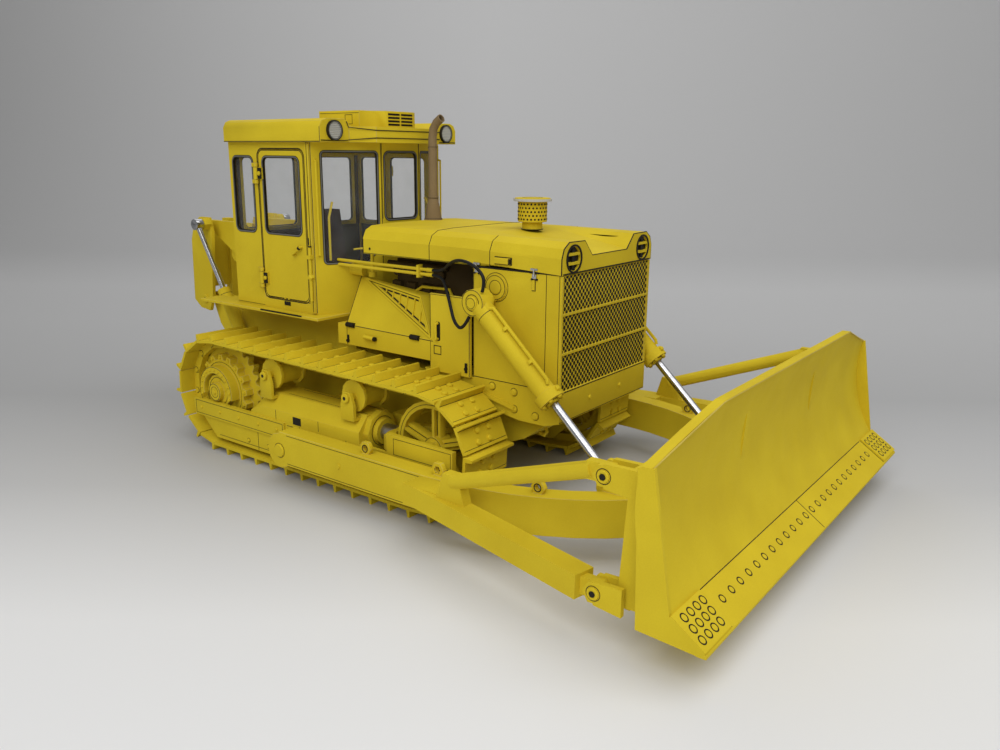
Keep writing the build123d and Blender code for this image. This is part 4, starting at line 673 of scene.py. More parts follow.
# ------------------------------------------------------------------ tracks
@dataclass
class Tracks(Assembly):
    """Bolts, pin heads and printed creases of the two shoe chains."""

    title: str = "track_fittings"
    centre: float = 37.6
    shoe_width: float = 20.0
    pitch: float = 8.13
    shoes: int = 38
    pins_per_turn: float = 13.5
    idler_radius: float = 16.6
    link_half_height: float = 1.4
    plate: float = 0.95
    grouser: float = 2.25
    link_side: float = 4.1
    bolt_radius: float = 0.95
    bolt_height: float = 0.75
    bolt_places: tuple[Point, ...] = ((-1.5, -3.1), (-1.5, 2.1), (1.9, -2.1), (1.9, 3.1))

    def chain(self) -> list[tuple[Vector, float]]:
        """Middle (x, z) and turn of each shoe's link, as the solids set them."""
        radius = self.pitch * self.pins_per_turn / (2 * math.pi)
        height = self.link_half_height + self.plate + self.grouser
        length = self.pitch * self.shoes
        axle_z, idler_z = height + radius, height + self.idler_radius
        idler_x = (length - math.pi * (radius + self.idler_radius)) / 2
        lean = math.asin((radius - self.idler_radius) / idler_x)
        idler_x -= lean * (radius - self.idler_radius)
        top = math.pi / 2 - 2 * lean
        start = Vector((radius * math.cos(top), axle_z + radius * math.sin(top)))
        end = Vector((idler_x + self.idler_radius * math.cos(top),
                      idler_z + self.idler_radius * math.sin(top)))
        rear, run = radius * (math.pi + 2 * lean), (end - start).length
        fore = self.idler_radius * (math.pi - 2 * lean)

        def pin(s: float) -> Vector:
            """Pin at a length along the chain, from below the sprocket."""
            s %= length
            if s < rear:
                turn = -math.pi / 2 - s / radius
                return Vector((radius * math.cos(turn), axle_z + radius * math.sin(turn)))
            if s < rear + run:
                return start.lerp(end, (s - rear) / run)
            if s < rear + run + fore:
                turn = top - (s - rear - run) / self.idler_radius
                return Vector((idler_x + self.idler_radius * math.cos(turn),
                               idler_z + self.idler_radius * math.sin(turn)))
            return Vector((idler_x - (s - rear - run - fore), height))

        pins = [pin(i * self.pitch) for i in range(self.shoes + 1)]
        return [((a + b) / 2, math.atan2(b.y - a.y, b.x - a.x))
                for a, b in zip(pins, pins[1:])]

    def cut(self) -> None:
        """Cuts the bolts, pin heads and creases of every shoe."""
        half = self.pitch / 2
        for hand in Hand:
            bolts, ink = self.pair()
            for middle, turn in self.chain():
                along = Vector((math.cos(turn), 0, math.sin(turn)))
                out = Vector((-math.sin(turn), 0, math.cos(turn)))
                heart = Vector((middle.x, hand.value * self.centre, middle.y))
                face = Face(heart + out * (self.link_half_height + self.plate), along,
                            Vector((0, hand.value, 0)), out)
                for u, v in self.bolt_places:
                    bolts.boss(face, u + 0.2, v, self.bolt_radius, -0.1, self.bolt_height, 8,
                               0.24)
                for u, margin, width in ((half - 0.75, 0.3, 0.14), (1.42 - half, 0.1, 0.16)):
                    reach = self.shoe_width / 2 - margin
                    ink.line(face, ((u, -reach), (u, reach)), width, 0.03)
                flank = Face(heart + Vector((0, hand.value * self.link_side, 0)), along, out,
                             Vector((0, hand.value, 0)))
                bolts.boss(flank, half, 0, 1.0, -0.1, 0.35, 12, 0.15)
                ink.trace(flank, half, 0, 1.18, 0.16, 16)
                ink.line(flank, ((half - 0.9, -1.3), (half - 0.3, 0.9)), 0.16)


# ------------------------------------------------------------------ wheels and frames
@dataclass
class Undercarriage(Assembly):
    """Printed rings, caps, hatches and bolts of the wheels, guards and blade frame."""

    title: str = "undercarriage"
    track_y: float = 37.6
    axle_z: float = 22.07
    hub_y: float = 42.0
    hub_steps: Point = (2.2, 3.6, 4.0)
    guard_y: float = 46.0
    strip_y: float = 46.8
    beam_y: float = 56.0
    idler: Point = (100.95, 21.2)
    spokes: int = 5
    spoke_reach: Point = (3.8, 12.2)
    trunnion: Point = (48.3, 13.2)
    guard_bolts: tuple[float, ...] = (18.5, 29.5, 41.0, 52.0, 63.5, 74.5, 86.0, 97.0)
    guard_joints: tuple[Point, ...] = ((24.0, 12.0), (46.5, 18.1), (69.0, 18.1), (91.5, 18.1))
    strip_bolts: tuple[float, ...] = (-7.5, 3.5, 14.5, 25.5, 35.5)
    carrier_xs: Point = (29.8, 70.0)
    carrier_line: Point = (33.79, 0.0172)
    lugs: tuple[Point, ...] = ((85.5, 52.8), (114.2, 52.7), (143.8, 46.16))

    def wheel(self, hand: Hand) -> None:
        """Rings and bolts of the drive sprocket's hub and casing."""
        yellow, ink = self.pair()
        z = self.axle_z
        hub = Face.flank(hand, self.hub_y)
        disc, casing, cap = (hub.lifted(step) for step in self.hub_steps)
        yellow.bolts(hub, fan(0, z, 12.2, 16, 4.5, 22.5), 0.6, 0.5)
        yellow.bolts(casing, fan(0, z, 8.25, 13, -12, 17), 0.55, 0.45)
        yellow.bolts(disc, fan(0, z, 4.5, 6, 15, 60), 0.42, 0.35)
        yellow.bolt(cap, 0, z, 0.9, 0.5)
        ink.trace(hub, 0, z, 10.6, 0.16, 36)
        ink.trace(casing, 0, z, 9.3, 0.13, 36, 0.04)
        ink.trace(disc, 0, z, 5.3, 0.18, 30, 0.06)
        ink.trace(cap, 0, z, 3.2, 0.16)
        ink.trace(cap, 0, z, 2.1, 0.14)

    def guard(self, hand: Hand) -> None:
        """Panel lines, bolts and the low plate of the roller guard."""
        yellow, ink = self.pair()
        face, strip = Face.flank(hand, self.guard_y), Face.flank(hand, self.strip_y)
        ink.lines(face, 0.16, ((40.2, 17.5), (93.5, 17.5), (105.2, 15.6)),
                  *(((x, 5.2), (x, top)) for x, top in self.guard_joints))
        ink.lines(face, 0.14, ((1.6, 6.2), (98.6, 6.2)))
        for x in self.guard_bolts:
            yellow.bolt(face, x, 7.6, 0.62, 0.42)
            ink.trace(face, x, 7.6, 0.86, 0.12, 12, 0.04)
        ink.line(strip, box_outline(-10.8, 12.9, 38.6, 17.7), 0.15, closed=True)
        yellow.bolts(strip, [(x, 15.3) for x in self.strip_bolts], 0.62, 0.42)
        ink.plate(face, box_outline(61.2, 8.6, 65.0, 11.6), -0.02, 0.05)
        yellow.plate(face, box_outline(61.5, 8.9, 64.7, 11.3), 0.0, 0.22)

    def housing(self, hand: Hand) -> None:
        """Panel lines of the recoil housing, the carrier rollers' caps and the ram's tube."""
        yellow, ink = self.pair()
        side, top = Face.flank(hand, self.guard_y), Face.level(26.8)
        centre = hand.value * self.track_y
        ink.lines(side, 0.16, *(((x, 18.6), (x, 21.9)) for x in (34.5, 56.0)))
        ink.plate(side, box_outline(43.4, 18.6, 47.4, 21.2), -0.02, 0.1)
        ink.lines(top, 0.13, *(((36.0, centre + y), (74.0, centre + y)) for y in (-3.2, 3.2)))
        post = Face.flank(hand, 46.5)
        for x in self.carrier_xs:
            z = self.carrier_line[0] - self.carrier_line[1] * x
            yellow.boss(post, x, z, 1.55, -0.2, 0.5, 16, 0.2)
            ink.boss(post, x, z, 0.6, 0.4, 0.56, 12)
        ink.trace(Face.across(77.2), centre, self.idler[1], 4.9, 0.2, 24, 0.06)
        ram = [DATUM.at(x, centre, self.idler[1]) for x in (78.6, 84.2)]
        self.of(Finish.STEEL).wire(ram, 2.72, 20)

    def front_wheel(self, hand: Hand) -> None:
        """Dark ribs, ring and cap of the front wheel."""
        yellow, ink = self.pair()
        x, z = self.idler
        face, rib = (Face.flank(hand, self.track_y + step) for step in (2.8, 1.25))
        yellow.boss(face, x, z, 2.5, -0.2, 0.7, 18, 0.25)
        ink.trace(face, x, z, 13.5, 0.16, 40)
        ink.trace(face, x, z, 3.3, 0.16, 24, 0.06)
        for i in range(self.spokes):
            turn = math.radians(90 + 360 / self.spokes * i)
            along = Vector((math.cos(turn), math.sin(turn)))
            for side in (-0.62, 0.62):
                shift = Vector((-along.y, along.x)) * side + Vector(self.idler)
                ink.line(rib, [tuple(along * r + shift) for r in self.spoke_reach], 0.2)
        yoke = Face.flank(hand, self.track_y + 10.4)
        ink.line(yoke, box_outline(x - 9.0, z - 1.9, x + 13.4, z + 3.1), 0.13, closed=True)

    def beam(self, hand: Hand) -> None:
        """Printed creases, trunnion ring and holes of the blade frame."""
        yellow, ink = self.pair("blade_assembly")
        face = Face.flank(hand, self.beam_y)
        ink.lines(face, 0.14, *(((52.0, z), (111.6, z)) for z in (18.9, 9.3)))
        ink.trace(face, *self.trunnion, 2.5, 0.14, 30)
        yellow.boss(face, *self.trunnion, 2.2, -0.1, 0.5, 20, 0.2)
        yellow.boss(face, 76.0, 14.1, 0.9, -0.1, 0.3, 12, 0.12)
        for x, y in self.lugs:
            for out in (-1, 1):
                lug = Face.beside(x, hand.value * y + out * 0.8, 21.29, out)
                ink.hoop(lug, 0, 0, 1.25, 0.28, -0.03, 0.05, 16)

    def cut(self) -> None:
        """Cuts the fittings of both sides."""
        for hand in Hand:
            for step in (self.wheel, self.guard, self.housing, self.front_wheel, self.beam):
                step(hand)


# ------------------------------------------------------------------ cab
@dataclass
class Cab(Assembly):
    """Window rubbers, door lines, hinges, handles, rails, lamps and roof trim."""

    title: str = "cab_trim"
    half_width: float = 31.4
    wall: float = 1.0
    sill: float = 80.0
    head: float = 105.4
    corner: float = 1.8
    rubber: float = 0.62
    rear_x: float = -1.9
    front_x: float = 51.7
    pane: tuple[Point, Point] = ((51.7, 9.4), (41.6, 31.4))
    pillar_x: float = 40.5
    platform_y: float = 36.0
    door_box: Point = (14.0, 57.0, 38.0, 108.2)
    hinge_zs: Point = (64.0, 100.0)
    lamp: Point = (27.45, 114.1)
    roof_x: float = 48.6
    cooler_x: float = 50.0
    slats: int = 4
    slat_pitch: float = 1.12

    def window(self, face: Face, outline: Sequence[Point], radius: float,
               body: str = "tractor") -> None:
        """Grey rubber with black lips round one window.

        Args:
            face: The wall's outer plane.
            outline: Sharp-cornered outline of the cut-out.
            radius: Rounding of its corners.
            body: The body that it rides on.
        """
        grey, ink = self.of(Finish.GREY, body), self.of(Finish.INK, body)
        outer, lip, edge = [rounded(inset(outline, -step), radius + step)
                            for step in (self.rubber, self.rubber - 0.2, 0.02)]
        ink.ring(face, outer, lip, -0.05, 0.12)
        grey.ring(face, lip, edge, -0.05, 0.2)
        ink.ring(face, edge, rounded(inset(outline, 0.28), radius - 0.26), -0.7, 0.14)

    def lining(self, hand: Hand) -> None:
        """Painted shade inside the cab: shaded card on the walls and the door, inside and below the
        windows.
        """
        inside, rear = Face.flank(hand, self.half_width - self.wall), Face.across(-0.9)
        fixed, leaf = self.of(Finish.SHADE), self.of(Finish.SHADE, f"door_{hand.label}")
        fixed.plate(inside, box_outline(0.2, 55.2, 13.2, 78.6), -0.45, 0.05)
        leaf.plate(inside, box_outline(15.0, 58.2, 37.0, 78.6), -0.4, 0.05)
        for inner, low, outer, high, depth in ((0.3, 55.2, 29.4, 78.6, 0.45),
                                               (28.0, 78.6, 29.8, 106.0, 0.3)):
            fixed.plate(rear, box_outline(hand.value * inner, low, hand.value * outer, high),
                        -0.05, depth)

    def door(self, hand: Hand) -> None:
        """Gap line, hinges and handle of a door."""
        wall, body = Face.flank(hand, self.half_width), f"door_{hand.label}"
        leaf, dark = self.of(Finish.YELLOW, body), self.of(Finish.INK, body)
        ink = self.of(Finish.INK)
        outline = box_outline(*self.door_box)
        ink.ring(wall, rounded(inset(outline, -0.3), 2.9), rounded(outline, 2.6), -0.05, 0.05)
        dark.ring(wall, rounded(inset(outline, 0.37), 2.3), rounded(inset(outline, 0.6), 2.1),
                  -0.05, 0.04)
        self.window(wall, box_outline(16.75, self.sill, 35.25, self.head), self.corner, body)
        proud = wall.lifted(0.9)
        for z in self.hinge_zs:
            ink.plate(wall, rounded(box_outline(12.3, z - 2.6, 13.5, z + 2.6), 0.4), -0.05, 0.36)
            dark.plate(proud, rounded(box_outline(14.7, z - 1.9, 16.8, z + 1.9), 0.3), -0.1, 0.14)
            leaf.boss(proud, 15.9, z, 0.72, 0.0, 0.75, 14, 0.25)
        leaf.bar(wall, ((31.4, 73.4, 0.0), (31.5, 73.5, 1.15), (35.0, 76.0, 1.15),
                        (35.05, 76.05, 0.0)), 0.52, 12)
        dark.bar(wall, ((34.4, 75.57, 1.15), (35.05, 76.04, 1.15)), 0.6, 12)
        ink.plate(wall, box_outline(38.55, 77.0, 39.1, 79.4), -0.05, 0.3)
        ink.plate(wall, box_outline(24.6, 55.2, 27.6, 56.5), -0.05, 0.3)
        for x in (25.1, 27.1):
            leaf.boss(wall, x, 57.6, 0.35, 0.0, 0.35, 10)

    def pillar(self, hand: Hand) -> None:
        """Drip rail lines and drain pipe at the front pillar."""
        wall, x = Face.flank(hand, self.half_width + 0.8), self.pillar_x
        yellow, ink = self.pair()
        ink.line(wall, ((40.4, 54.6), (40.4, 109.6)), 0.22)
        ink.lines(wall.lifted(-0.8), 0.2, *(((u, 54.2), (u, 110.2)) for u in (39.35, 41.4)))
        yellow.bar(wall, ((x, 76.5, 0.62), (x, 58.4, 0.62)), 0.55, 10)
        ink.boss(Face.level(76.6), x, hand.value * 32.8, 0.62, -0.1, 0.25, 12)
        yellow.bolt(wall, x, 66.4, 1.1, 1.5)
        yellow.plate(wall, box_outline(39.7, 72.6, 41.3, 73.8), -0.1, 1.35)

    def slanted(self, hand: Hand) -> None:
        """Rubber and rails of the slanted pane ahead of the pillar."""
        (x0, y0), (x1, y1) = self.pane
        away = Vector((x1 - x0, hand.value * (y1 - y0), 0)).normalized()
        out = Vector((abs(away.y), -away.x * hand.value, 0))
        wall = Face(Vector(((x0 + x1) / 2, hand.value * (y0 + y1) / 2, 0)), away,
                    Vector((0, 0, 1)), out)
        self.window(wall, [(8.7, 71.0), (8.7, 107.3), (-10.5, 107.3), (-10.5, 75.2),
                           (-6.3, 71.0)], 1.0)
        yellow, ink = self.pair()
        yellow.bar(wall, ((10.9, 73.6, 0.0), (10.9, 74.0, 1.2), (10.9, 104.4, 1.2),
                          (10.9, 104.8, 0.0)), 0.42)
        yellow.bar(wall, ((6.4, 71.6, -1.6), (6.4, 86.0, -1.6), (4.6, 91.0, -3.2)), 0.42)
        yellow.bar(wall, ((-2.0, 75.0, -1.8), (-9.2, 75.4, -1.8)), 0.36)
        ink.line(wall, ((-11.95, 70.0), (-11.95, 110.2)), 0.2)
        y = hand.value * 9.2
        ink.line(Face.across(self.front_x), ((y, 85.4), (y, 110.2)), 0.2)

    def roof_side(self, hand: Hand) -> None:
        """Lamp and lip lines of one half of the roof."""
        ink, lens = self.of(Finish.INK), self.of(Finish.LAMP)
        front, (y, z) = Face.across(self.roof_x), self.lamp
        y *= hand.value
        ink.hoop(front, y, z, 3.2, 0.3, -0.1, 0.95, 28)
        self.of(Finish.GREY).hoop(front, y, z, 2.91, 0.34, -0.1, 0.9, 28)
        for i in range(-4, 5):
            rise = i * 0.56
            wide = math.sqrt(2.5 ** 2 - rise ** 2)
            lens.plate(front, box_outline(y - wide, z + rise - 0.17, y + wide, z + rise + 0.17),
                       0.5, 0.82, 0.08)
        rim = Face.flank(hand, 33.4)
        ink.line(rim, ((-1.2, 110.62), (48.4, 110.62)), 0.2)
        ink.line(rim, ((48.45, 110.6), (48.45, 115.1)), 0.14)
        for lip in (((48.7, 33.0, 111.0), (48.7, 23.4, 110.9), (49.2, 21.2, 111.2),
                     (56.1, 15.7, 111.9), (56.1, 0, 111.9)),
                    ((48.75, 21.9, 117.0), (48.9, 21.2, 115.2), (56.1, 15.7, 114.3),
                     (56.1, 0, 114.3))):
            ink.wire(mirrored(hand, lip), 0.15, 6)

    def cooler(self) -> None:
        """Louvres on the front of the roof's cooler and lines on its right side."""
        yellow, ink = self.pair()
        face, side = Face.across(self.cooler_x), Face.flank(Hand.RIGHT, 12.5)
        for u in (-3.8, 2.6):
            for i in range(self.slats):
                low = 116.2 + i * self.slat_pitch
                ink.plate(face, box_outline(u, low, u + 5.6, low + 0.66), -0.05, 0.06)
                yellow.plate(face, box_outline(u, low + 0.66, u + 5.6, low + 0.84), 0.0, 0.3)
        ink.line(side, box_outline(38.2, 116.6, 41.6, 119.6), 0.16, closed=True)
        ink.line(side, ((25.6, 120.2), (44.8, 120.2)), 0.12)

    def cut(self) -> None:
        """Cuts the trim of the whole cab."""
        for hand in Hand:
            wall, middle = Face.flank(hand, self.half_width), hand.value * 14.6
            self.window(wall, box_outline(0.4, self.sill, 11.1, self.head), self.corner)
            ink = self.of(Finish.INK)
            self.window(Face.across(self.rear_x, -1.0),
                        box_outline(middle - 12, self.sill, middle + 12, self.head), self.corner)
            ink.line(wall, ((-1.7, 54.0), (13.4, 54.0)), 0.14)
            ink.plate(Face.flank(hand, self.platform_y), box_outline(16.5, 53.0, 38.5, 53.5),
                      -0.4, 0.02)
            for step in (self.door, self.pillar, self.slanted, self.lining):
                step(hand)
        self.window(Face.across(self.front_x), box_outline(-7.9, 84.9, 7.9, 107.3), self.corner)
        for hand in Hand:
            self.roof_side(hand)
        self.cooler()


# ------------------------------------------------------------------ hood, nose and bay
@dataclass
class Hood(Assembly):
    """Seams, handles, catches, lamp rims and the pre-cleaner of the hood and nose."""

    title: str = "hood_trim"
    half_width: float = 25.7
    nose_x: float = 105.0
    front_x: float = 136.3
    side_z: float = 75.3
    top_z: float = 84.4
    crown_y: float = 10.2
    shoulder_y: float = 21.5
    seam_xs: Point = (87.4, 111.0)
    lamp: Point = (20.1, 79.1)
    catch_xs: Point = (106.3, 127.0)
    disc: Point = (113.4, 69.5)
    rail_bolts: tuple[Point, ...] = ((112.2, 39.4), (120.3, 38.9), (120.4, 33.7), (128.1, 32.9),
                                     (129.4, 38.6))
    grille_zs: Point = (41.0, 75.0)
    grille_half: float = 24.4
    panels: int = 3
    hole_columns: int = 26
    hole_rows: int = 11
    cleaner_x: float = 107.9
    cleaner_radius: float = 4.6

    def section(self) -> list[Point]:
        """The hood's outline across, as (y, z) from the left foot over to the right."""
        half = [(self.half_width, self.side_z), (self.half_width, self.top_z - 4.4),
                (self.half_width - 1.4, self.top_z - 1.6), (self.shoulder_y, self.top_z - 0.3),
                (self.crown_y + 3.6, self.top_z), (self.crown_y, self.top_z)]
        return [*half, *[(-y, z) for y, z in reversed(half)]]

    def front_section(self) -> list[Point]:
        """The waved front's outline, in the same order."""
        half = [(self.half_width + 0.4, self.side_z - 0.4),
                (self.half_width + 0.4, self.top_z - 5), (self.half_width - 0.6, self.top_z - 2.3),
                (self.shoulder_y + 1, self.top_z - 0.6), (self.crown_y + 4.2, self.top_z - 0.7),
                (self.crown_y, self.top_z - 5.1)]
        return [*half, *[(-y, z) for y, z in reversed(half)]]

    def seams(self) -> None:
        """Scored seams over the hood, the gap along its foot and the waved edge."""
        ink, (rear_x, fore_x) = self.of(Finish.INK), self.seam_xs
        share = (fore_x - self.nose_x) / (self.front_x - self.nose_x)
        blend = [(a[0] + (b[0] - a[0]) * share, a[1] + (b[1] - a[1]) * share)
                 for a, b in zip(self.section(), self.front_section())]
        for x, radius, outline in ((rear_x, 0.12, self.section()), (fore_x, 0.12, blend[:4]),
                                   (fore_x, 0.12, blend[-4:]),
                                   (self.front_x - 0.12, 0.17, self.front_section())):
            ink.wire([DATUM.at(x, y, z) for y, z in outline], radius, 6)

    def fittings(self, hand: Hand) -> None:
        """Gap, handle, catches, strap, disc and lines of one side."""
        yellow, ink = self.pair()
        chrome = self.of(Finish.CHROME)
        foot = Face.flank(hand, self.half_width)
        ink.line(foot, ((104.9, 74.98), (135.9, 74.98)), 0.42, 0.1)
        for route, width in ((((58.7, 75.5), (104.6, 75.5)), 0.14),
                             (((58.65, 75.6), (58.65, 80.0)), 0.18),
                             (((131.0, 41.3), (131.0, 74.6)), 0.17),
                             (((105.1, 41.4), (136.1, 41.4)), 0.2),
                             (((105.0, 41.2), (105.0, 74.6)), 0.16),
                             (((135.45, 41.2), (135.45, 74.6)), 0.13)):
            ink.line(foot, route, width)
        ink.boss(foot, 61.6, 77.0, 0.42, -0.1, 0.12, 10)
        ink.plate(foot, box_outline(112.9, 76.3, 119.1, 78.55), -0.05, 0.27)
        yellow.plate(foot, box_outline(113.1, 76.5, 118.4, 78.3), 0.2, 1.25, 0.2)
        ink.plate(foot.lifted(0.9), box_outline(118.3, 76.6, 118.86, 78.2), -0.85, 0.08)
        for x in self.catch_xs:
            chrome.plate(foot, box_outline(x - 1.3, 75.5, x + 1.3, 76.3), -0.1, 0.5, 0.12)
            chrome.plate(foot, box_outline(x - 0.8, 73.2, x + 0.8, 74.6), -0.1, 0.42, 0.12)
            chrome.bar(foot, ((x, 73.9, 0.55), (x, 76.0, 0.55)), 0.28, 8)
            ink.plate(foot, box_outline(x - 1.5, 74.7, x + 1.5, 75.3), -0.1, 0.2)
            for shift in (-0.85, 0.85):
                ink.boss(foot, x + shift, 73.1, 0.3, -0.1, 0.5, 8)
        yellow.plate(foot, box_outline(126.2, 69.9, 127.2, 72.9), -0.1, 0.4, 0.1)
        ink.plate(foot, box_outline(126.05, 69.7, 127.35, 73.1), -0.1, 0.08)
        for step, radius, width, sides in ((0.5, 3.6, 0.17, 32), (0.5, 2.2, 0.15, 28),
                                           (0.0, 4.35, 0.16, 36)):
            ink.hoop(foot.lifted(step), *self.disc, radius, width, -0.03, 0.05, sides)
        yellow.boss(foot.lifted(0.5), *self.disc, 1.9, -0.05, 0.2, 24, 0.1)

    def rails(self, hand: Hand) -> None:
        """Bolts and the ledge bar on the engine rail below the nose."""
        yellow, ink = self.pair()
        rail = Face.flank(hand, self.half_width)
        for x, z in self.rail_bolts:
            yellow.boss(rail, x, z, 1.05, -0.1, 0.75, 14, 0.35)
            ink.trace(rail, x, z, 1.3, 0.14, 16, 0.04)
        yellow.skin([[rail.at(x, z + rise, out) for out, rise in
                      ((0, -0.5), (1.3, -0.5), (1.3, 0.5), (0, 0.5))]
                     for x, z in ((106.0, 37.4), (121.0, 34.2))])

    def headlamp(self, hand: Hand) -> None:
        """Dark well, rim and two bars of a headlamp."""
        yellow, ink = self.pair()
        face, (y, z) = Face.across(self.front_x), self.lamp
        y *= hand.value
        ink.hoop(face, y, z, 4.02, 0.5, -0.8, 0.3, 28)
        ink.boss(face, y, z, 3.7, -1.4, -0.7, 28)
        for rise in (-1.3, 1.3):
            yellow.plate(face, box_outline(y - 3.0, z + rise - 0.45, y + 3.0, z + rise + 0.45),
                         -0.75, 0.1, 0.1)
        for low, high in ((-3.3, -1.8), (-0.8, 0.8), (1.8, 3.3)):
            ink.plate(face, box_outline(y - 0.75, z + low, y + 0.75, z + high), -0.9, -0.12)

    def front(self) -> None:
        """Lines of the header and the apron, and the hook below."""
        yellow, ink = self.pair()
        face = Face.across(self.front_x)
        ink.line(face, ((-25.3, 75.15), (25.3, 75.15)), 0.34, 0.08)
        ink.line(face, ((-25.4, 41.0), (25.4, 41.0)), 0.26, 0.06)
        ink.line(face, ((-25.5, 32.3), (25.5, 32.3)), 0.14)
        yellow.bolts(face, ((-9.0, 36.6), (9.0, 36.6)), 0.7, 0.4)
        yellow.wire([DATUM.at(x, -12.0, z) for x, z in
                     ((120.2, 26.0), (122.4, 25.4), (123.2, 23.6), (122.2, 22.2),
                      (120.4, 22.8))], 0.6, 10)

    def grille(self) -> None:
        """Staggered dark holes and thin seams on the three grille panels."""
        ink, seam = self.of(Finish.INK), self.of(Finish.EDGE)
        low, high = self.grille_zs
        height = (high - low) / self.panels
        face = Face.across(self.front_x - 0.5)
        across = 2 * self.grille_half / (self.hole_columns - 1)
        rise = (height - 1.3) / (self.hole_rows - 1)
        for panel in range(self.panels):
            for row in range(self.hole_rows):
                z = low + panel * height + 0.65 + row * rise
                for column in range(self.hole_columns - row % 2):
                    y = (column + 0.5 * (row % 2)) * across - self.grille_half
                    ink.plate(face, circle(y, z, 0.64, 6, math.pi / 6), -0.02, 0.05)
        seam.lines(face, 0.16, *(((y, 41.4), (y, 74.4)) for y in (24.95, -24.95)), high=0.2)

    def cleaner(self) -> None:
        """Dotted screen and pale rim of the pre-cleaner."""
        ink, x = self.of(Finish.INK), self.cleaner_x
        for row in range(5):
            for i in range(24):
                degrees = 15 * i + 7.5 * (row % 2)
                turn, facet = math.radians(degrees), math.radians(degrees % 30 - 15)
                out = Vector((math.cos(turn), math.sin(turn), 0))
                apothem = self.cleaner_radius * math.cos(math.radians(15)) / math.cos(facet)
                heart = Vector((x, 0, 87.6 + row * 1.15)) + out * (apothem - 0.05)
                face = Face(heart, Vector((-out.y, out.x, 0)), Vector((0, 0, 1)), out)
                ink.plate(face, circle(0, 0, 0.31, 8), -0.05, 0.1)
        self.of(Finish.LAMP).hoop(Face.level(93.1), x, 0, 6.05, 0.3, -0.02, 0.72, 36)
        ink.hoop(Face.level(93.1), x, 0, 5.9, 0.7, -0.06, 0.02, 36)
        self.of(Finish.YELLOW).boss(Face.level(93.8), x, 0, 5.6, -0.1, 0.25, 36, 0.15)
        ink.trace(Face.level(94.05), x, 0, 3.2, 0.14, 24, 0.04)
        ink.boss(Face.level(self.top_z), x, 0, 3.5, -0.05, 0.1, 24)

    def bay(self, hand: Hand) -> None:
        """Pipes, tanks and ribs of the engine seen beneath the hood; the ribs, their round tops and
        a bar are shaded card, painted shade of the bay.
        """
        # brown holds the shaded card, painted shade of the bay, for the ribs, their round tops and
        # a bar.
        yellow, dark, brown = self.of(Finish.YELLOW), self.of(Finish.DARK), self.of(Finish.SHADE)
        side, clamp = Face.flank(hand, 15.0), Face.flank(hand, 24.7)
        yellow.wire(mirrored(hand, ((54.6, 17.8, 75.2), (54.6, 17.8, 67.8))), 0.62, 10)
        yellow.boss(Face.level(66.6), 54.6, hand.value * 17.8, 1.35, -0.2, 1.6, 16, 0.3)
        yellow.wire(mirrored(hand, ((46.8, 19.8, 68.6), (51.6, 18.6, 68.3))), 1.9, 16)
        for x in (62.0, 68.5, 75.0, 81.5):
            brown.plate(side, box_outline(x, 54.5, x + 4.4, 66.0), -0.2, 1.3, 0.35)
            brown.boss(side, x + 2.2, 69.2, 1.5, -0.2, 1.6, 14, 0.3)
        brown.bar(side, ((60.6, 71.6, 0.9), (86.5, 71.6, 0.9)), 0.9, 12)
        yellow.bar(side, ((58.0, 62.6, 1.9), (72.0, 62.4, 1.9), (76.5, 65.0, 1.9),
                          (88.0, 65.2, 1.9), (91.0, 60.0, 1.9), (99.0, 59.6, 1.9)), 0.5)
        dark.bar(side, ((60.6, 57.4, 1.8), (97.5, 57.4, 1.8)), 0.45)
        yellow.plate(clamp, box_outline(81.1, 69.2, 82.3, 73.4), -1.6, 0.3, 0.15)
        for z in (72.0, 70.5):
            yellow.wire(mirrored(hand, ((84.9, 24.0, z), (87.3, 24.0, z))), 0.66, 12)

    def cut(self) -> None:
        """Cuts all the trim of the hood, the nose and the bay."""
        self.seams()
        for hand in Hand:
            for step in (self.fittings, self.rails, self.bay, self.headlamp):
                step(hand)
        for step in (self.front, self.grille, self.cleaner):
            step()


@dataclass
class Exhaust:
    """Brown pipe with a flared foot, wrapped bands and a mitred elbow that opens ahead."""

    centre: Point = (60.0, 7.5)
    profile: tuple[Point, ...] = (
        (84.3, 3.2), (84.9, 3.2), (84.95, 2.9), (92.0, 1.75), (92.05, 1.88), (92.6, 1.88),
        (92.65, 1.62), (108.6, 1.5), (108.65, 1.62), (109.2, 1.62), (109.25, 1.48),
        (112.4, 1.45))
    elbow: tuple[Point, ...] = (
        (0.5, 115.3, 22.0), (1.9, 117.3, 48.0), (3.6, 118.5, 62.0), (4.2, 118.8, 62.0))
    bands: tuple[Point, ...] = ((84.95, 3.05), (92.0, 1.92), (109.25, 1.66))
    radius: float = 1.45
    bore: float = 1.1
    bore_depth: float = 1.6
    sides: int = 24

    def ring(self, x: float, z: float, radius: float, lean: float) -> list[Vector]:
        """One round section, tipped forward by the lean in degrees."""
        turn = math.radians(lean)
        return [DATUM.at(self.centre[0] + x + u * math.cos(turn), self.centre[1] + v,
                         z - u * math.sin(turn)) for u, v in circle(0, 0, radius, self.sides)]

    def fit(self) -> None:
        """Sets the pipe in place of the solid one."""
        pipe, seam = Stock(), Stock()
        end_x, end_z, lean = self.elbow[-1]
        turn = math.radians(lean)
        pipe.skin([*[self.ring(0, z, radius, 0) for z, radius in self.profile],
                   *[self.ring(x, z, self.radius, tip) for x, z, tip in self.elbow],
                   *[self.ring(end_x - depth * math.sin(turn), end_z - depth * math.cos(turn),
                               self.bore, lean) for depth in (0.0, self.bore_depth)]])
        piece = pipe.place("exhaust_tractor_brown", "tractor", Finish.BROWN)
        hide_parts("exhaust")
        for z, radius in self.bands:
            seam.hoop(Face.level(z), *self.centre, radius, 0.5, -0.07, 0.07, self.sides)
        seam.place("exhaust_tractor_ink", "tractor", Finish.INK)


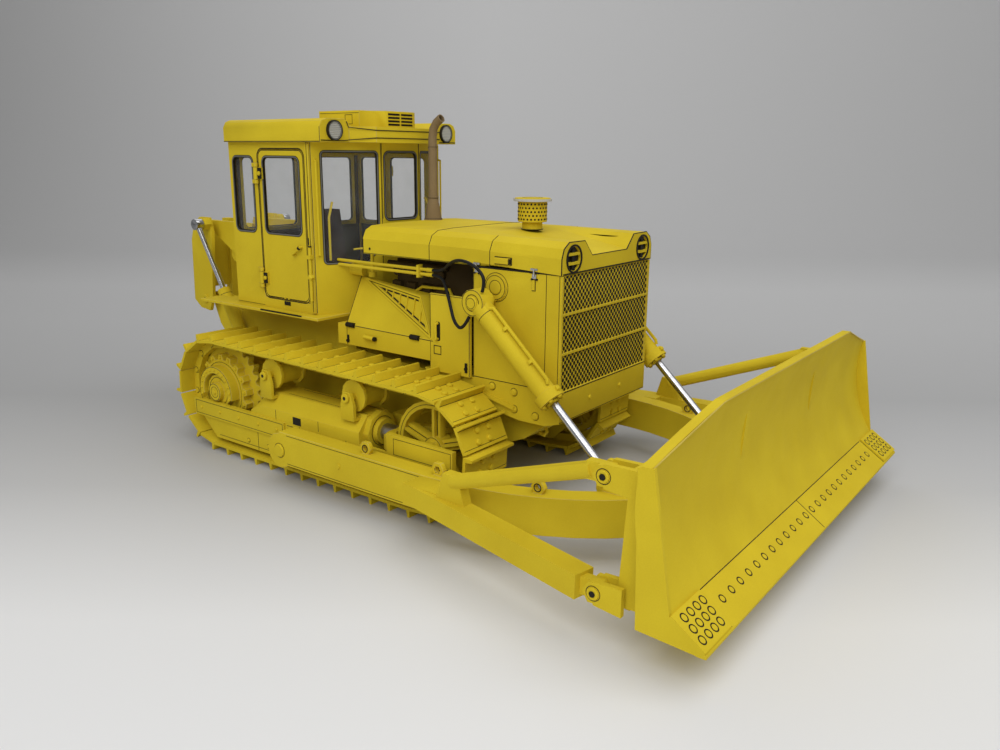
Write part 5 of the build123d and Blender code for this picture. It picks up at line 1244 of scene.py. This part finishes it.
# ------------------------------------------------------------------ boxes beside the hood
@dataclass
class Fenders(Assembly):
    """Hinge pins, handles, printed lines, vent slats and painted shade of the boxes beside the
    hood.
    """

    title: str = "fender_trim"
    outer_y: float = 27.3
    fold: tuple[Point, Point] = ((51.2, 51.0), (89.8, 50.5))
    ridge: Point = (48.3, 16.8, 66.0)
    vent_top: Point = (80.7, 22.0, 63.0)
    pin_xs: Point = (51.4, 80.6)
    slats: int = 6

    def cover(self, hand: Hand) -> None:
        """Fold line with its two pins, the tube handle and the low hinge."""
        yellow, ink = self.pair()
        wall = Face.flank(hand, self.outer_y)
        (x0, z0), (x1, z1) = self.fold
        slope = (z1 - z0) / (x1 - x0)
        for x in self.pin_xs:
            ink.bar(wall, [(u, z0 + slope * (u - x0), 0.15) for u in (x, x + 3.6)], 0.85, 14)
        for stock, ends, radius in ((yellow, (60.4, 64.8), 0.72), (ink, (64.8, 65.5), 0.78)):
            stock.bar(wall, [(u, 50.4 - 0.04 * u, 1.0) for u in ends], radius, 14)
        for x in (61.2, 64.0):
            yellow.plate(wall, box_outline(x - 0.3, 47.5, x + 0.3, 48.3), -0.1, 0.9)
        ink.plate(wall, box_outline(51.4, 44.8, 52.2, 47.4), -0.1, 0.35)
        ink.boss(wall, 51.8, 45.5, 0.55, 0, 0.7, 10)
        for width, route in ((0.2, ((x0, z0 - 0.1), (x1, z1 - 0.1))),
                             (0.18, ((51.2, 44.2), (51.2, 50.6))),
                             (0.12, ((88.9, 44.2), (88.9, 50.2)))):
            ink.line(wall, route, width)
        ink.wire(mirrored(hand, ((x0, self.outer_y, z0), self.ridge)), 0.1, 6)

    def vent(self, hand: Hand) -> None:
        """Pale double rim and slats of the sloped vent, a dark line between the rims, and painted
        shade: a dark band sunk inside the inner rim and a dark strip beside each slat.
        """
        yellow, ink = self.pair()
        x, z = self.fold[1]
        corners = [Vector((u, hand.value * v, w)) for u, v, w in
                   (self.ridge, (x, self.outer_y, z), self.vent_top)]
        face = Face.through(*corners)
        flat = [((corner - face.origin).dot(face.right), (corner - face.origin).dot(face.up))
                for corner in corners]
        # The last ring, a dark band sunk inside the inner rim, is painted shade.
        for stock, outer, inner, low, high in (
                (yellow, 0.12, 0.62, -0.1, 0.45), (ink, 0.66, 0.86, -0.1, 0.03),
                (yellow, 0.9, 1.4, -0.1, 0.3), (ink, 1.42, 2.0, -0.6, -0.42)):
            stock.ring(face, inset(flat, outer), inset(flat, inner), low, high)
        a, b, c = (Vector(corner) for corner in inset(flat, 1.5))
        for i in range(1, self.slats + 1):
            low = a.lerp(b, i / 7)
            high = a.lerp(c, i / 5.6) if i < self.slats else c.lerp(b, 0.3)
            over = Vector((-(high - low).y, (high - low).x)).normalized() * 0.2
            dark = over * 2.1
            yellow.plate(face, [low - over, high - over, high + over, low + over], -0.55, 0.02)
            # Dark strip beside the slat: painted shadow of the slat.
            ink.plate(face, [low + over, high + over, high + dark, low + dark], -0.52, -0.44)

    def side_plate(self, hand: Hand) -> None:
        """Handle with its painted shadow, square outline and hinge of the upright plate ahead of
        the vent.
        """
        yellow, ink = self.pair()
        wall = Face.flank(hand, self.outer_y)
        # Dark patch behind the handle: painted shadow of the handle.
        ink.plate(wall, rounded(box_outline(91.15, 50.8, 92.95, 56.9), 0.6), -0.05, 0.05)
        yellow.bar(wall, ((91.9, 56.4, 0.0), (91.9, 56.2, 1.05), (91.9, 51.6, 1.05),
                          (91.9, 51.4, 0.0)), 0.48, 12)
        ink.line(wall, box_outline(90.4, 46.6, 93.2, 49.2), 0.26, closed=True)
        ink.plate(wall, box_outline(103.0, 42.4, 103.8, 45.4), -0.05, 0.4)
        ink.boss(wall, 103.4, 43.6, 0.5, 0, 0.7, 10)
        for width, route in ((0.16, ((89.0, 51.2), (89.0, 65.2))),
                             (0.2, ((104.5, 41.3), (104.5, 65.3))),
                             (0.12, ((89.1, 65.25), (104.5, 65.25)))):
            ink.line(wall, route, width)

    def cut(self) -> None:
        """Cuts the trim of both boxes."""
        for hand in Hand:
            for step in (self.cover, self.vent, self.side_plate):
                step(hand)


# ------------------------------------------------------------------ blade
@dataclass
class Blade(Assembly):
    """Cutting-edge bolts, end bits, seams and edge lines of the blade."""

    title: str = "blade_trim"
    body: str = "blade_assembly"
    half_width: float = 77.3
    crest_half: float = 48.5
    corner_z: float = 47.1
    edge_top: Point = (197.4, 16.2)
    tip: Point = (205.9, 10.3)
    waist: Point = (191.0, 34.5)
    top: Point = (194.4, 55.1)
    bit_width: float = 13.8
    bit_thickness: float = 0.6
    edge_bolts: int = 12
    bit_bolts: tuple[int, int] = (3, 4)
    ear_x: float = 178.5
    ears: tuple[Point, ...] = ((14.5, 73.0), (41.0, 70.5))

    def face_x(self, z: float) -> float:
        """X of the curved face at a height, on the circle through its three points."""
        (ax, az), (bx, bz), (cx, cz) = self.edge_top, self.waist, self.top
        d = 2 * (ax * (bz - cz) + bx * (cz - az) + cx * (az - bz))
        a2, b2, c2 = ax * ax + az * az, bx * bx + bz * bz, cx * cx + cz * cz
        ux = (a2 * (bz - cz) + b2 * (cz - az) + c2 * (az - bz)) / d
        uz = (a2 * (cx - bx) + b2 * (ax - cx) + c2 * (bx - ax)) / d
        radius = math.hypot(ax - ux, az - uz)
        return ux - math.sqrt(radius ** 2 - (z - uz) ** 2)

    def edge(self, face: Face, down: float) -> None:
        """Bolts and seams of the cutting edge and its two end bits.

        Args:
            face: The cutting edge's plane, with u across the machine.
            down: Sign of v that leads down the edge.
        """
        yellow, ink = self.pair(self.body)
        bit = face.lifted(self.bit_thickness)
        rows, columns = self.bit_bolts
        ink.line(face, ((0, down * 0.2), (0, down * 10.0)), 0.2)
        ink.line(face, ((-62.4, down * 0.12), (62.4, down * 0.12)), 0.2, 0.05)
        for hand in Hand:
            for i in range(self.edge_bolts):
                y = hand.value * (2.6 + 5.1 * i)
                ink.trace(face, y, down * 4.6, 1.05, 0.3, 18, 0.06)
                yellow.boss(face, y, down * 4.6, 0.74, -0.05, 0.14, 16, 0.1)
            for row in range(rows):
                for column in range(columns):
                    y, v = hand.value * (65.2 + 3.05 * column + 0.35 * row), down * (2 + 2.75 * row)
                    ink.trace(bit, y, v, 1.12, 0.3, 18, 0.06)
                    yellow.boss(bit, y, v, 0.8, -0.05, 0.12, 16, 0.08)
            seam = hand.value * (self.half_width - self.bit_width - 0.1)
            ink.line(face, ((seam, down * 0.1), (seam, down * 9.8)), 0.2)

    def side(self, hand: Hand) -> None:
        """Lines of one end plate and one upright rim, and the pins of the ears behind."""
        yellow, ink = self.pair(self.body)
        end = Face.flank(hand, self.half_width)
        ink.line(end, ((189.3, 46.2), (190.0, 11.6), (204.2, 10.6)), 0.16, -0.005)
        ink.line(end, ((190.2, 16.9), (197.0, 16.4)), 0.18, -0.005)
        high = self.corner_z - 0.3
        steps = [high - i * (high - 16.6) / 8 for i in range(9)]
        for stock, ahead, inward, radius in ((self.of(Finish.EDGE, self.body), 0.02, 0.25, 0.2),
                                             (ink, -0.02, 0.8, 0.11)):
            stock.wire(mirrored(hand, [(self.face_x(z) + ahead, self.half_width - inward, z)
                                       for z in steps]), radius, 6)
        for z, spread in self.ears:
            for out in (-1, 1):
                ear = Face.beside(self.ear_x, hand.value * spread + out * 2.7, z, out)
                yellow.boss(ear, 0, 0, 1.5, -0.1, 0.5, 14, 0.15)
                ink.boss(ear, 0, 0, 0.75, 0.4, 0.56, 12)
                ink.trace(ear, 0, 0, 1.85, 0.16, 20)

    def cut(self) -> None:
        """Cuts the bolts, rings and lines."""
        (x, z), (tip_x, tip_z) = self.edge_top, self.tip
        face = Face.through((x, 0, z), (x, 1, z), (tip_x, 0, tip_z))
        self.edge(face, 1.0 if face.up.z < 0 else -1.0)
        for hand in Hand:
            self.side(hand)
        ends = ((self.half_width - 0.6, self.corner_z - 0.2), (self.crest_half, self.top[1] - 0.25))
        rim = [*ends, *[(-y, z) for y, z in reversed(ends)]]
        self.of(Finish.EDGE, self.body).wire(
            [DATUM.at(self.face_x(z) + 0.02, y, z) for y, z in rim], 0.22, 6)


# ------------------------------------------------------------------ lift cylinders, arms, ripper
@dataclass
class Linkage(Assembly):
    """Rings, pipes, glands and pins of the cylinders, the arms and the ripper."""

    title: str = "linkage_trim"
    trunnion: Point = (111.1, 65.7)
    foot: Point = (157.0, 22.3)
    lift_y: float = 31.5
    barrel_radius: float = 3.1
    barrel_length: float = 36.7
    arm_y: float = 63.6
    arm_hole: Point = (118.2, 16.4)
    bracket_pins: tuple[Point, ...] = ((-21.5, 18.0), (-21.5, 47.7))
    carriage_pins: tuple[Point, ...] = ((-43.7, 48.3), (-43.7, 78.0))
    ripper_y: float = 21.6
    ripper_foot: Point = (-12.2, 33.0)
    ripper_head: Point = (-38.8, 79.0)

    def cylinder(self, hand: Hand) -> None:
        """Pipe, gland bolts, ports and eye rings of a lift cylinder."""
        yellow, ink = self.pair(f"lift_barrel_{hand.label}")
        (x, z), (foot_x, foot_z) = self.trunnion, self.foot
        start = Vector((x, hand.value * self.lift_y, z))
        along = Vector((foot_x - x, 0, foot_z - z)).normalized()
        upper, beside = Vector((-along.z, 0, along.x)), Vector((0, hand.value, 0))
        pipe = Face(start, along, upper, beside)
        yellow.bar(pipe, ((4.8, 3.0, 1.2), (5.6, 3.9, 1.2), (31.2, 3.9, 1.2), (32.4, 3.1, 1.2)),
                   0.55)
        for t in (12.0, 24.0):
            yellow.bar(pipe, ((t, 3.0, 1.2), (t + 1.0, 3.0, 1.2)), 1.1, 12)
        gland = Face(start + along * self.barrel_length, beside, upper, along)
        yellow.bolts(gland, fan(0, 0, 3.1, 6, 30, 60), 0.7, 0.7)
        yellow.boss(gland, 0, 0, 2.1, -0.1, 0.7, 20, 0.2)
        ink.trace(gland, 0, 0, 2.4, 0.2)
        for back in (2.95, 31.5):
            ink.hoop(gland.lifted(-back), 0, 0, self.barrel_radius + 0.05, 0.4, -0.09, 0.09, 30)
        yellow.bolt(Face(start + along * 34.9 + upper * 3.9, along, beside, upper), 0, 0, 0.85, 0.9)
        eye = Face.flank(hand, self.lift_y + 2.6)
        ink.trace(eye, x, z, 3.8, 0.16, 32)
        ink.trace(eye, x, z, 2.5, 0.18, 28, 0.06)
        self.of(Finish.YELLOW).boss(eye, x, z, 2.0, 0.05, 0.75, 24, 0.2)
        self.of(Finish.INK).trace(eye.lifted(0.75), x, z, 1.6, 0.13, 24, 0.04)
        self.of(Finish.INK, f"lift_rod_{hand.label}").hoop(
            Face.flank(hand, self.lift_y + 1.5), foot_x, foot_z, 1.95, 0.16, -0.02, 0.05, 24)

    def arm(self, hand: Hand) -> None:
        """Hole and raised ring on the side arm."""
        yellow, ink = self.pair("blade_assembly")
        side = Face.flank(hand, self.arm_y)
        ink.boss(side, *self.arm_hole, 0.75, -0.1, 0.2, 14)
        yellow.hoop(side, *self.arm_hole, 1.25, 0.5, -0.1, 0.3, 18)

    def ripper(self, hand: Hand) -> None:
        """Pins of the ripper's links, and the rings and bolts of its cylinders."""
        for body, y, pins, high, top in (("tractor", 15.6, self.bracket_pins, 0.5, 0.56),
                                         ("ripper_carriage", 17.0, self.carriage_pins, 0.6, 0.68)):
            yellow, ink = self.pair(body)
            for x, z in pins:
                yellow.boss(Face.flank(hand, y), x, z, 1.8, -0.2, high, 18, 0.15)
                ink.boss(Face.flank(hand, y), x, z, 0.7, high - 0.1, top, 12)
        yellow, ink = self.pair(f"ripper_barrel_{hand.label}")
        (x, z), (head_x, head_z) = self.ripper_foot, self.ripper_head
        along = Vector((head_x - x, 0, head_z - z)).normalized()
        gland = Face(Vector((x, hand.value * self.ripper_y, z)) + along * 25.0,
                     Vector((0, hand.value, 0)), along.cross(Vector((0, 1, 0))), along)
        yellow.bolts(gland, fan(0, 0, 1.75, 6, 0, 60), 0.35, 0.3)
        ink.hoop(gland.lifted(-2.4), 0, 0, 2.5, 0.3, -0.09, 0.09, 28)
        eye = Face.flank(hand, self.ripper_y + 2.0)
        ink.trace(eye, x, z, 2.3, 0.16)
        self.of(Finish.YELLOW).boss(eye, x, z, 1.4, 0.05, 0.6, 18, 0.15)

    def cut(self) -> None:
        """Cuts the fittings of both sides."""
        for hand in Hand:
            for step in (self.cylinder, self.arm, self.ripper):
                step(hand)


# ------------------------------------------------------------------ studio
@dataclass
class Studio:
    """Camera, lamps and the pale sweep that the model stands on."""

    eye: Point = (185.75, -222.5, 107.6)
    azimuth: float = 36.92
    elevation: float = 14.64
    roll: float = -0.48
    lens: float = 30.66
    sensor: float = 36.0
    nearest: float = 0.01
    lamps: tuple[tuple[str, Point, float, float], ...] = (
        ("key", (0.36, -0.82, 0.8), 0.9, 7.6), ("top", (0.5, 0.1, 1.1), 1.0, 5.0),
        ("back", (-0.7, 0.55, 0.9), 0.8, 1.6))
    aim: Point = (0, 0, 0.03)
    world_strength: float = 0.3
    sweep_half: float = 3.0
    sweep_back: float = 0.62
    sweep_radius: float = 0.5
    sweep_steps: int = 24
    wall_height: float = 2.5
    fade_start: float = -0.2
    fade_length: float = 0.6
    # Painted light and shade on the backdrop: tone stops from front to back, shade towards both
    # sides, a lean lighter to one side and a rise up the wall.
    floor_stops: tuple[tuple[float, float], ...] = (
        (0.0, 0.78), (0.15, 0.76), (0.29, 0.52), (0.47, 0.41), (0.75, 0.5), (1.0, 0.56))
    side_fall: float = 0.25
    side_lean: float = 0.2
    wall_rise: float = 0.3

    @property
    def heading(self) -> tuple[float, float]:
        """Sine and cosine of the camera's azimuth."""
        turn = math.radians(self.azimuth)
        return math.sin(turn), math.cos(turn)

    def camera(self) -> None:
        """Makes the camera at the model's usual viewing place."""
        data = bpy.data.cameras.new("camera")
        data.lens, data.sensor_width, data.clip_start = self.lens, self.sensor, self.nearest
        eye = bpy.data.objects.new("camera", data)
        (sine, cosine), rise = self.heading, math.radians(self.elevation)
        back = Vector((sine * math.cos(rise), -cosine * math.cos(rise), math.sin(rise)))
        right = (-back).cross(Vector((0, 0, 1))).normalized()
        up, lean = back.cross(right), math.radians(self.roll)
        axes = (right * math.cos(lean) - up * math.sin(lean),
                right * math.sin(lean) + up * math.cos(lean), back)
        eye.matrix_world = (Matrix.Translation(Vector(self.eye) * MM)
                            @ Matrix(axes).transposed().to_4x4())
        bpy.context.scene.collection.objects.link(eye)
        bpy.context.scene.camera = eye

    def lamp(self, name: str, place: Point, size: float, power: float) -> None:
        """Adds one soft square lamp that faces the model.

        Args:
            name: The lamp's name.
            place: Where it hangs, in metres.
            size: Side of its square, in metres.
            power: Power, in watts.
        """
        data = bpy.data.lights.new(name, "AREA")
        data.size, data.energy = size, power
        lamp = bpy.data.objects.new(name, data)
        lamp.location = place
        lamp.rotation_mode = "QUATERNION"
        lamp.rotation_quaternion = (Vector(self.aim) - Vector(place)).to_track_quat("-Z", "Y")
        bpy.context.scene.collection.objects.link(lamp)

    def backdrop_material(self) -> bpy.types.Material:
        """Pale paper with painted light and shade: its tone follows a ramp from front to back,
        darkens towards both sides, is lighter to one side and brightens up the wall.
        """
        sheet = Shader("backdrop_paper")
        sine, cosine = self.heading
        place = sheet.node("ShaderNodeSeparateXYZ", {}, {0: sheet.place()})
        x, y, z = (sheet.wire(place, axis) for axis in "XYZ")
        depth, beside = y * cosine - x * sine, x * cosine + y * sine
        ramp = sheet.node("ShaderNodeValToRGB", {"stops": self.floor_stops},
                          {"Fac": (depth - self.fade_start) * (1 / self.fade_length)})
        wide = sheet.wire(sheet.node("ShaderNodeMath", {"operation": "ABSOLUTE"}, {0: beside}))
        lean = ((beside * 0.5 + 0.5).clamped() - 0.5) * self.side_lean
        tone = (sheet.wire(ramp) * (1 - wide.clamped() * self.side_fall)
                + (z * self.wall_rise).clamped() + lean)
        sheet.set(Base_Color=tone.clamped(), Roughness=0.9, Specular_IOR_Level=0.1)
        return sheet.material

    def sweep(self) -> None:
        """Builds the floor that curves up into the back wall, behind the model."""
        turns = [math.pi / 2 * i / self.sweep_steps for i in range(self.sweep_steps + 1)]
        bend = [(self.sweep_back + self.sweep_radius * math.sin(turn),
                 self.sweep_radius * (1 - math.cos(turn))) for turn in turns]
        profile = [(-self.sweep_half, 0.0), *bend, (bend[-1][0], self.wall_height)]
        sine, cosine = self.heading
        away, side = Vector((-sine, cosine, 0)), Vector((cosine, sine, 0))
        corners = [away * run + side * (hand * self.sweep_half) + Vector((0, 0, rise))
                   for run, rise in profile for hand in (-1, 1)]
        faces = [(2 * i, 2 * i + 1, 2 * i + 3, 2 * i + 2) for i in range(len(profile) - 1)]
        mesh = bpy.data.meshes.new("backdrop")
        mesh.from_pydata(corners, [], faces)
        mesh.shade_smooth()
        mesh.materials.append(self.backdrop_material())
        floor = bpy.data.objects.new("backdrop", mesh)
        bpy.context.scene.collection.objects.link(floor)

    def build(self) -> None:
        """Sets up the light and the backdrop."""
        world = bpy.data.worlds.new("studio")
        bpy.context.scene.world = world
        world.use_nodes = True
        sky = world.node_tree.nodes["Background"].inputs
        sky["Color"].default_value = (1, 1, 1, 1)
        sky["Strength"].default_value = self.world_strength
        for lamp in self.lamps:
            self.lamp(*lamp)
        self.sweep()
        bpy.context.scene.view_settings.view_transform = "Standard"


# ------------------------------------------------------------------ carried-over nodes
@dataclass
class Carcass:
    """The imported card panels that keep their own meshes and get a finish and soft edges."""

    edge: float = 0.12
    seam_angle: float = 35.0
    crisp: tuple[str, ...] = ("blade", "hood")
    # The engine takes the shaded card: its yellow darkened as painted shade of the bay.
    finishes: dict[str, Finish] = field(default_factory=lambda: {
        "engine": Finish.SHADE, "dash": Finish.DARK, "seat": Finish.SEAT,
        "exhaust": Finish.BROWN, "headlamps": Finish.YELLOW, "roof_lamps": Finish.LAMP})

    def finish_of(self, name: str) -> Finish:
        """The finish of a node, by its name."""
        if name in self.finishes:
            return self.finishes[name]
        if "glass" in name:
            return Finish.FILM
        if name.startswith(("lift_rod", "ripper_rod")):
            return Finish.CHROME
        return Finish.YELLOW

    def dress(self) -> None:
        """Gives every CAD node its material and smooth shading, and all but the crisp ones rounded
        edges, worn to bare card on the yellow ones.
        """
        for name, node in sorted(frame["nodes"].items()):
            finish = self.finish_of(name)
            node.data.materials.clear()
            node.data.materials.append(finish.material)
            if name not in self.crisp:
                soften(node, self.edge, self.seam_angle, finish is Finish.YELLOW)
            round_off(node)
            log.info("dressed %s", name)


def soften(piece: bpy.types.Object, width: float, angle: float, worn: bool) -> None:
    """Rounds a piece's sharp edges, which show the card's cut edge where it is worn.

    Args:
        piece: A mesh object.
        width: Width of the rounding, in millimetres.
        angle: Smallest angle that counts as an edge, in degrees.
        worn: Whether the rounded edge has the tone of bare card.
    """
    weld = piece.modifiers.new("weld", "WELD")
    weld.merge_threshold = WELD_GAP
    bevel = piece.modifiers.new("bevel", "BEVEL")
    bevel.width = width * MM
    bevel.segments = 1 if worn else 2
    bevel.limit_method = "ANGLE"
    bevel.angle_limit = math.radians(angle)
    if worn:
        piece.data.materials.append(Finish.EDGE.material)
        bevel.material = 1


def main() -> None:
    """Builds the studio and dresses the model, part by part."""
    logging.basicConfig(level=logging.INFO, format="%(name)s: %(message)s")
    studio = Studio()
    studio.camera()
    Hoses().fit()
    Carcass().dress()
    for assembly in (Tracks(), Undercarriage(), Cab(), Hood(), Exhaust(), Fenders(), Blade(),
                     Linkage()):
        assembly.fit()
    studio.build()


if __name__ == "__main__":
    main()
